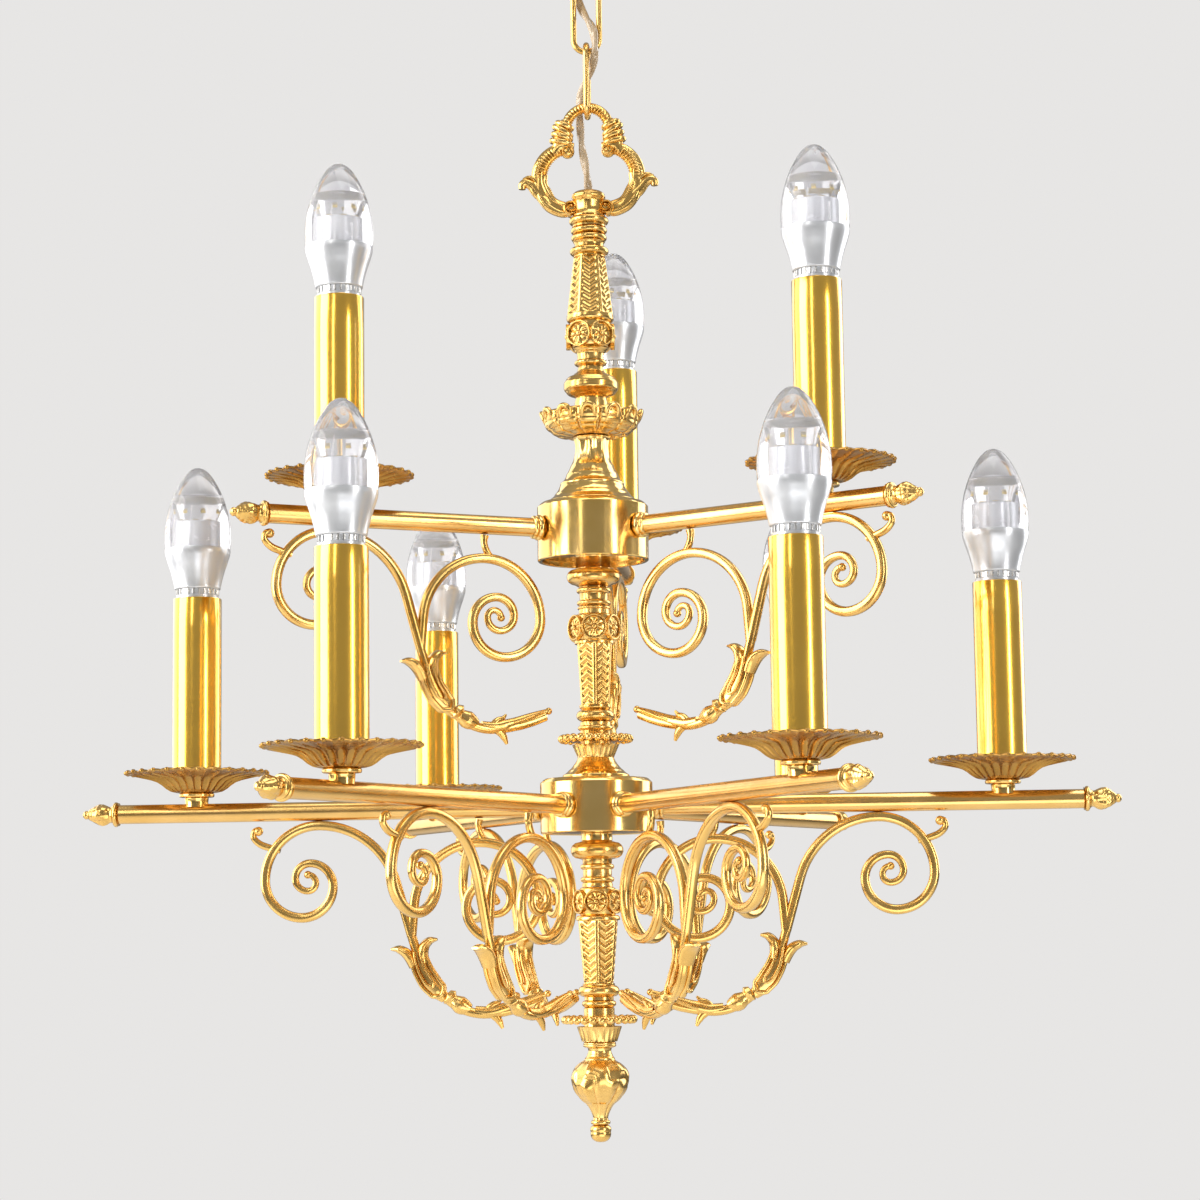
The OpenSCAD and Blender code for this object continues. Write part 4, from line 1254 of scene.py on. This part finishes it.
def scroll_bracket():
    form = scroll_rod(OUTER_SCROLL, 74)
    form.add(scroll_rod(INNER_SCROLL, 95))
    form.add(cast_rod([(176, -21.5), (181.4, -20), (187.2, -17.8), (190.9, -14.2), (190.6, -10.8),
        (188.6, -9.6)], [1.6, 1.9, 2.0, 1.9, 1.7, 1.6], [1.7, 2.1, 2.1, 2.0, 1.9, 1.8]))
    form.add(ball(2.6, (188.2, 0, -10.6), (1, 1.05, 1), 16, 10))
    form.add(cast_rod([(58.6, -19.6), (62.4, -17), (64.8, -13), (65.6, -9), (65.2, -5.9)],
        [1.4, 1.8, 1.9, 1.8, 2.4], [1.6, 2, 2.1, 2, 2.4]))
    form.add(ball(2.2, (61.2, 0, -18.8), (1.1, 1, 0.9), 14, 9))
    pad = Form()
    levels = [[(147 + up, -2.2), (158 - up, -2.2), (158 - up, 2.2), (147 + up, 2.2)] for up in (0, 1)]
    pad.grid([[(x, y, -8.8 + up * 3.1) for x, y in corners] for up, corners in enumerate(levels)])
    form.add(pad)
    form.add(calyx())
    form.add(stem_leaf())
    return form


def scroll_brackets():
    copies("scroll_bracket", scroll_bracket(), "brass_cast", "lower_scrolls upper_scrolls", sharp=55)


# ---- carried-over CAD pieces

KEPT = {
    "inner_steel": ["ceiling_bracket", "candle_stems", "centre_rod", "locknuts"],
    "holder_plastic": ["cable_grip", "terminal_block", "hub_connectors", "lampholders"],
    "copper_wire": ["wiring"],
    "brass_polished": ["hook_nut"],
}


def dress_kept_pieces():
    for slot, nodes in KEPT.items():
        for node in nodes:
            piece = frame["nodes"][node]
            piece.data.materials.clear()
            piece.data.materials.append(MATERIALS[slot])


for build in (canopy, canopy_hook, hanging_loop, upper_ferrule, upper_baluster, petal_cup, bell_neck,
        upper_hub_cover, middle_knop, middle_baluster, middle_bead_cup, lower_bell, lower_hub_cover,
        lower_knop, lower_baluster, lower_bead_cup, finial, arms, arm_collar, arm_finial, candle_boss,
        drip_pan, candle_sleeve, bulbs, scroll_brackets, dress_kept_pieces):
    build()
hub("upper_hub", 136.6, 169.5)
hub("lower_hub", -14.6, 15.6)

# ---- studio

FLOOR_Z = -1.6


def floor():
    bpy.ops.mesh.primitive_circle_add(vertices=96, radius=4, fill_type="NGON", location=(0, 0, FLOOR_Z))
    disc = bpy.context.object
    disc.name = "floor"
    made = Shader("floor_paint", Roughness=0.6)
    made.ramp(made.noise(1.5, 2), [(0.3, (0.76, 0.75, 0.73)), (0.7, (0.80, 0.79, 0.77))], "Base Color")
    made.bump(made.noise(60, 2), 0.0004)
    disc.data.materials.append(made.material)


AIM = Vector((0, 0, -0.5))     # what every light points at
DAYLIGHT = (1.0, 0.98, 0.95)


def area_light(name, place, size, power, color=(1, 1, 1)):
    data = bpy.data.lights.new(name, "AREA")
    data.shape = "RECTANGLE"
    data.size, data.size_y = size
    data.energy = power
    data.color = color
    light = bpy.data.objects.new(name, data)
    light.location = place
    light.rotation_euler = (AIM - Vector(place)).to_track_quat("-Z", "Y").to_euler()
    light.visible_camera = False
    scene.collection.objects.link(light)


def world():
    """Pale to the eye; reflections see a darker room that is brighter above."""
    made = bpy.data.worlds.new("studio")
    made.use_nodes = True
    tree = made.node_tree
    new, link = tree.nodes.new, tree.links.new
    background = tree.nodes["Background"]
    path = new("ShaderNodeLightPath")
    split = new("ShaderNodeSeparateXYZ")
    link(new("ShaderNodeTexCoord").outputs["Generated"], split.inputs["Vector"])
    room = new("ShaderNodeValToRGB")
    stops = [(0.0, 0.14), (0.40, 0.07), (0.50, 0.30), (0.60, 0.36), (0.78, 0.32), (1.0, 0.5)]
    while len(room.color_ramp.elements) < len(stops):
        room.color_ramp.elements.new(0.5)
    for element, (position, value) in zip(room.color_ramp.elements, stops):
        element.position, element.color = position, (value, value * 0.985, value * 0.95, 1)
    height = new("ShaderNodeMapRange")
    height.inputs["From Min"].default_value = -1
    link(split.outputs["Z"], height.inputs["Value"])
    link(height.outputs["Result"], room.inputs["Fac"])
    seen = new("ShaderNodeMix")
    seen.data_type = "RGBA"
    seen.inputs["B"].default_value = (0.80, 0.79, 0.78, 1)
    most = new("ShaderNodeMath")
    most.operation = "MAXIMUM"
    link(path.outputs["Is Camera Ray"], most.inputs[0])
    link(path.outputs["Is Transmission Ray"], most.inputs[1])
    link(most.outputs["Value"], seen.inputs["Factor"])
    link(room.outputs["Color"], seen.inputs["A"])
    link(seen.outputs["Result"], background.inputs["Color"])
    scene.world = made


scene.view_settings.view_transform = "Standard"
floor()
world()
area_light("window_left", (-2.3, -0.9, 0.1), (1.7, 2.4), 84, color=DAYLIGHT)
area_light("window_behind", (-2.2, 1.4, 0.1), (2.8, 2.4), 34, color=DAYLIGHT)
area_light("key_strip", (-0.75, -1.9, 0.5), (0.22, 1.3), 4, color=(1.0, 0.97, 0.92))
area_light("fill_strip", (1.5, -1.3, -0.3), (0.3, 1.5), 13, color=DAYLIGHT)
area_light("overhead", (0.2, -0.2, 1.3), (1.2, 1.2), 14)
area_light("rim_right", (1.4, 1.1, 0.2), (1.0, 1.8), 18)
area_light("below", (0.3, -0.9, -1.1), (1.0, 0.5), 3)
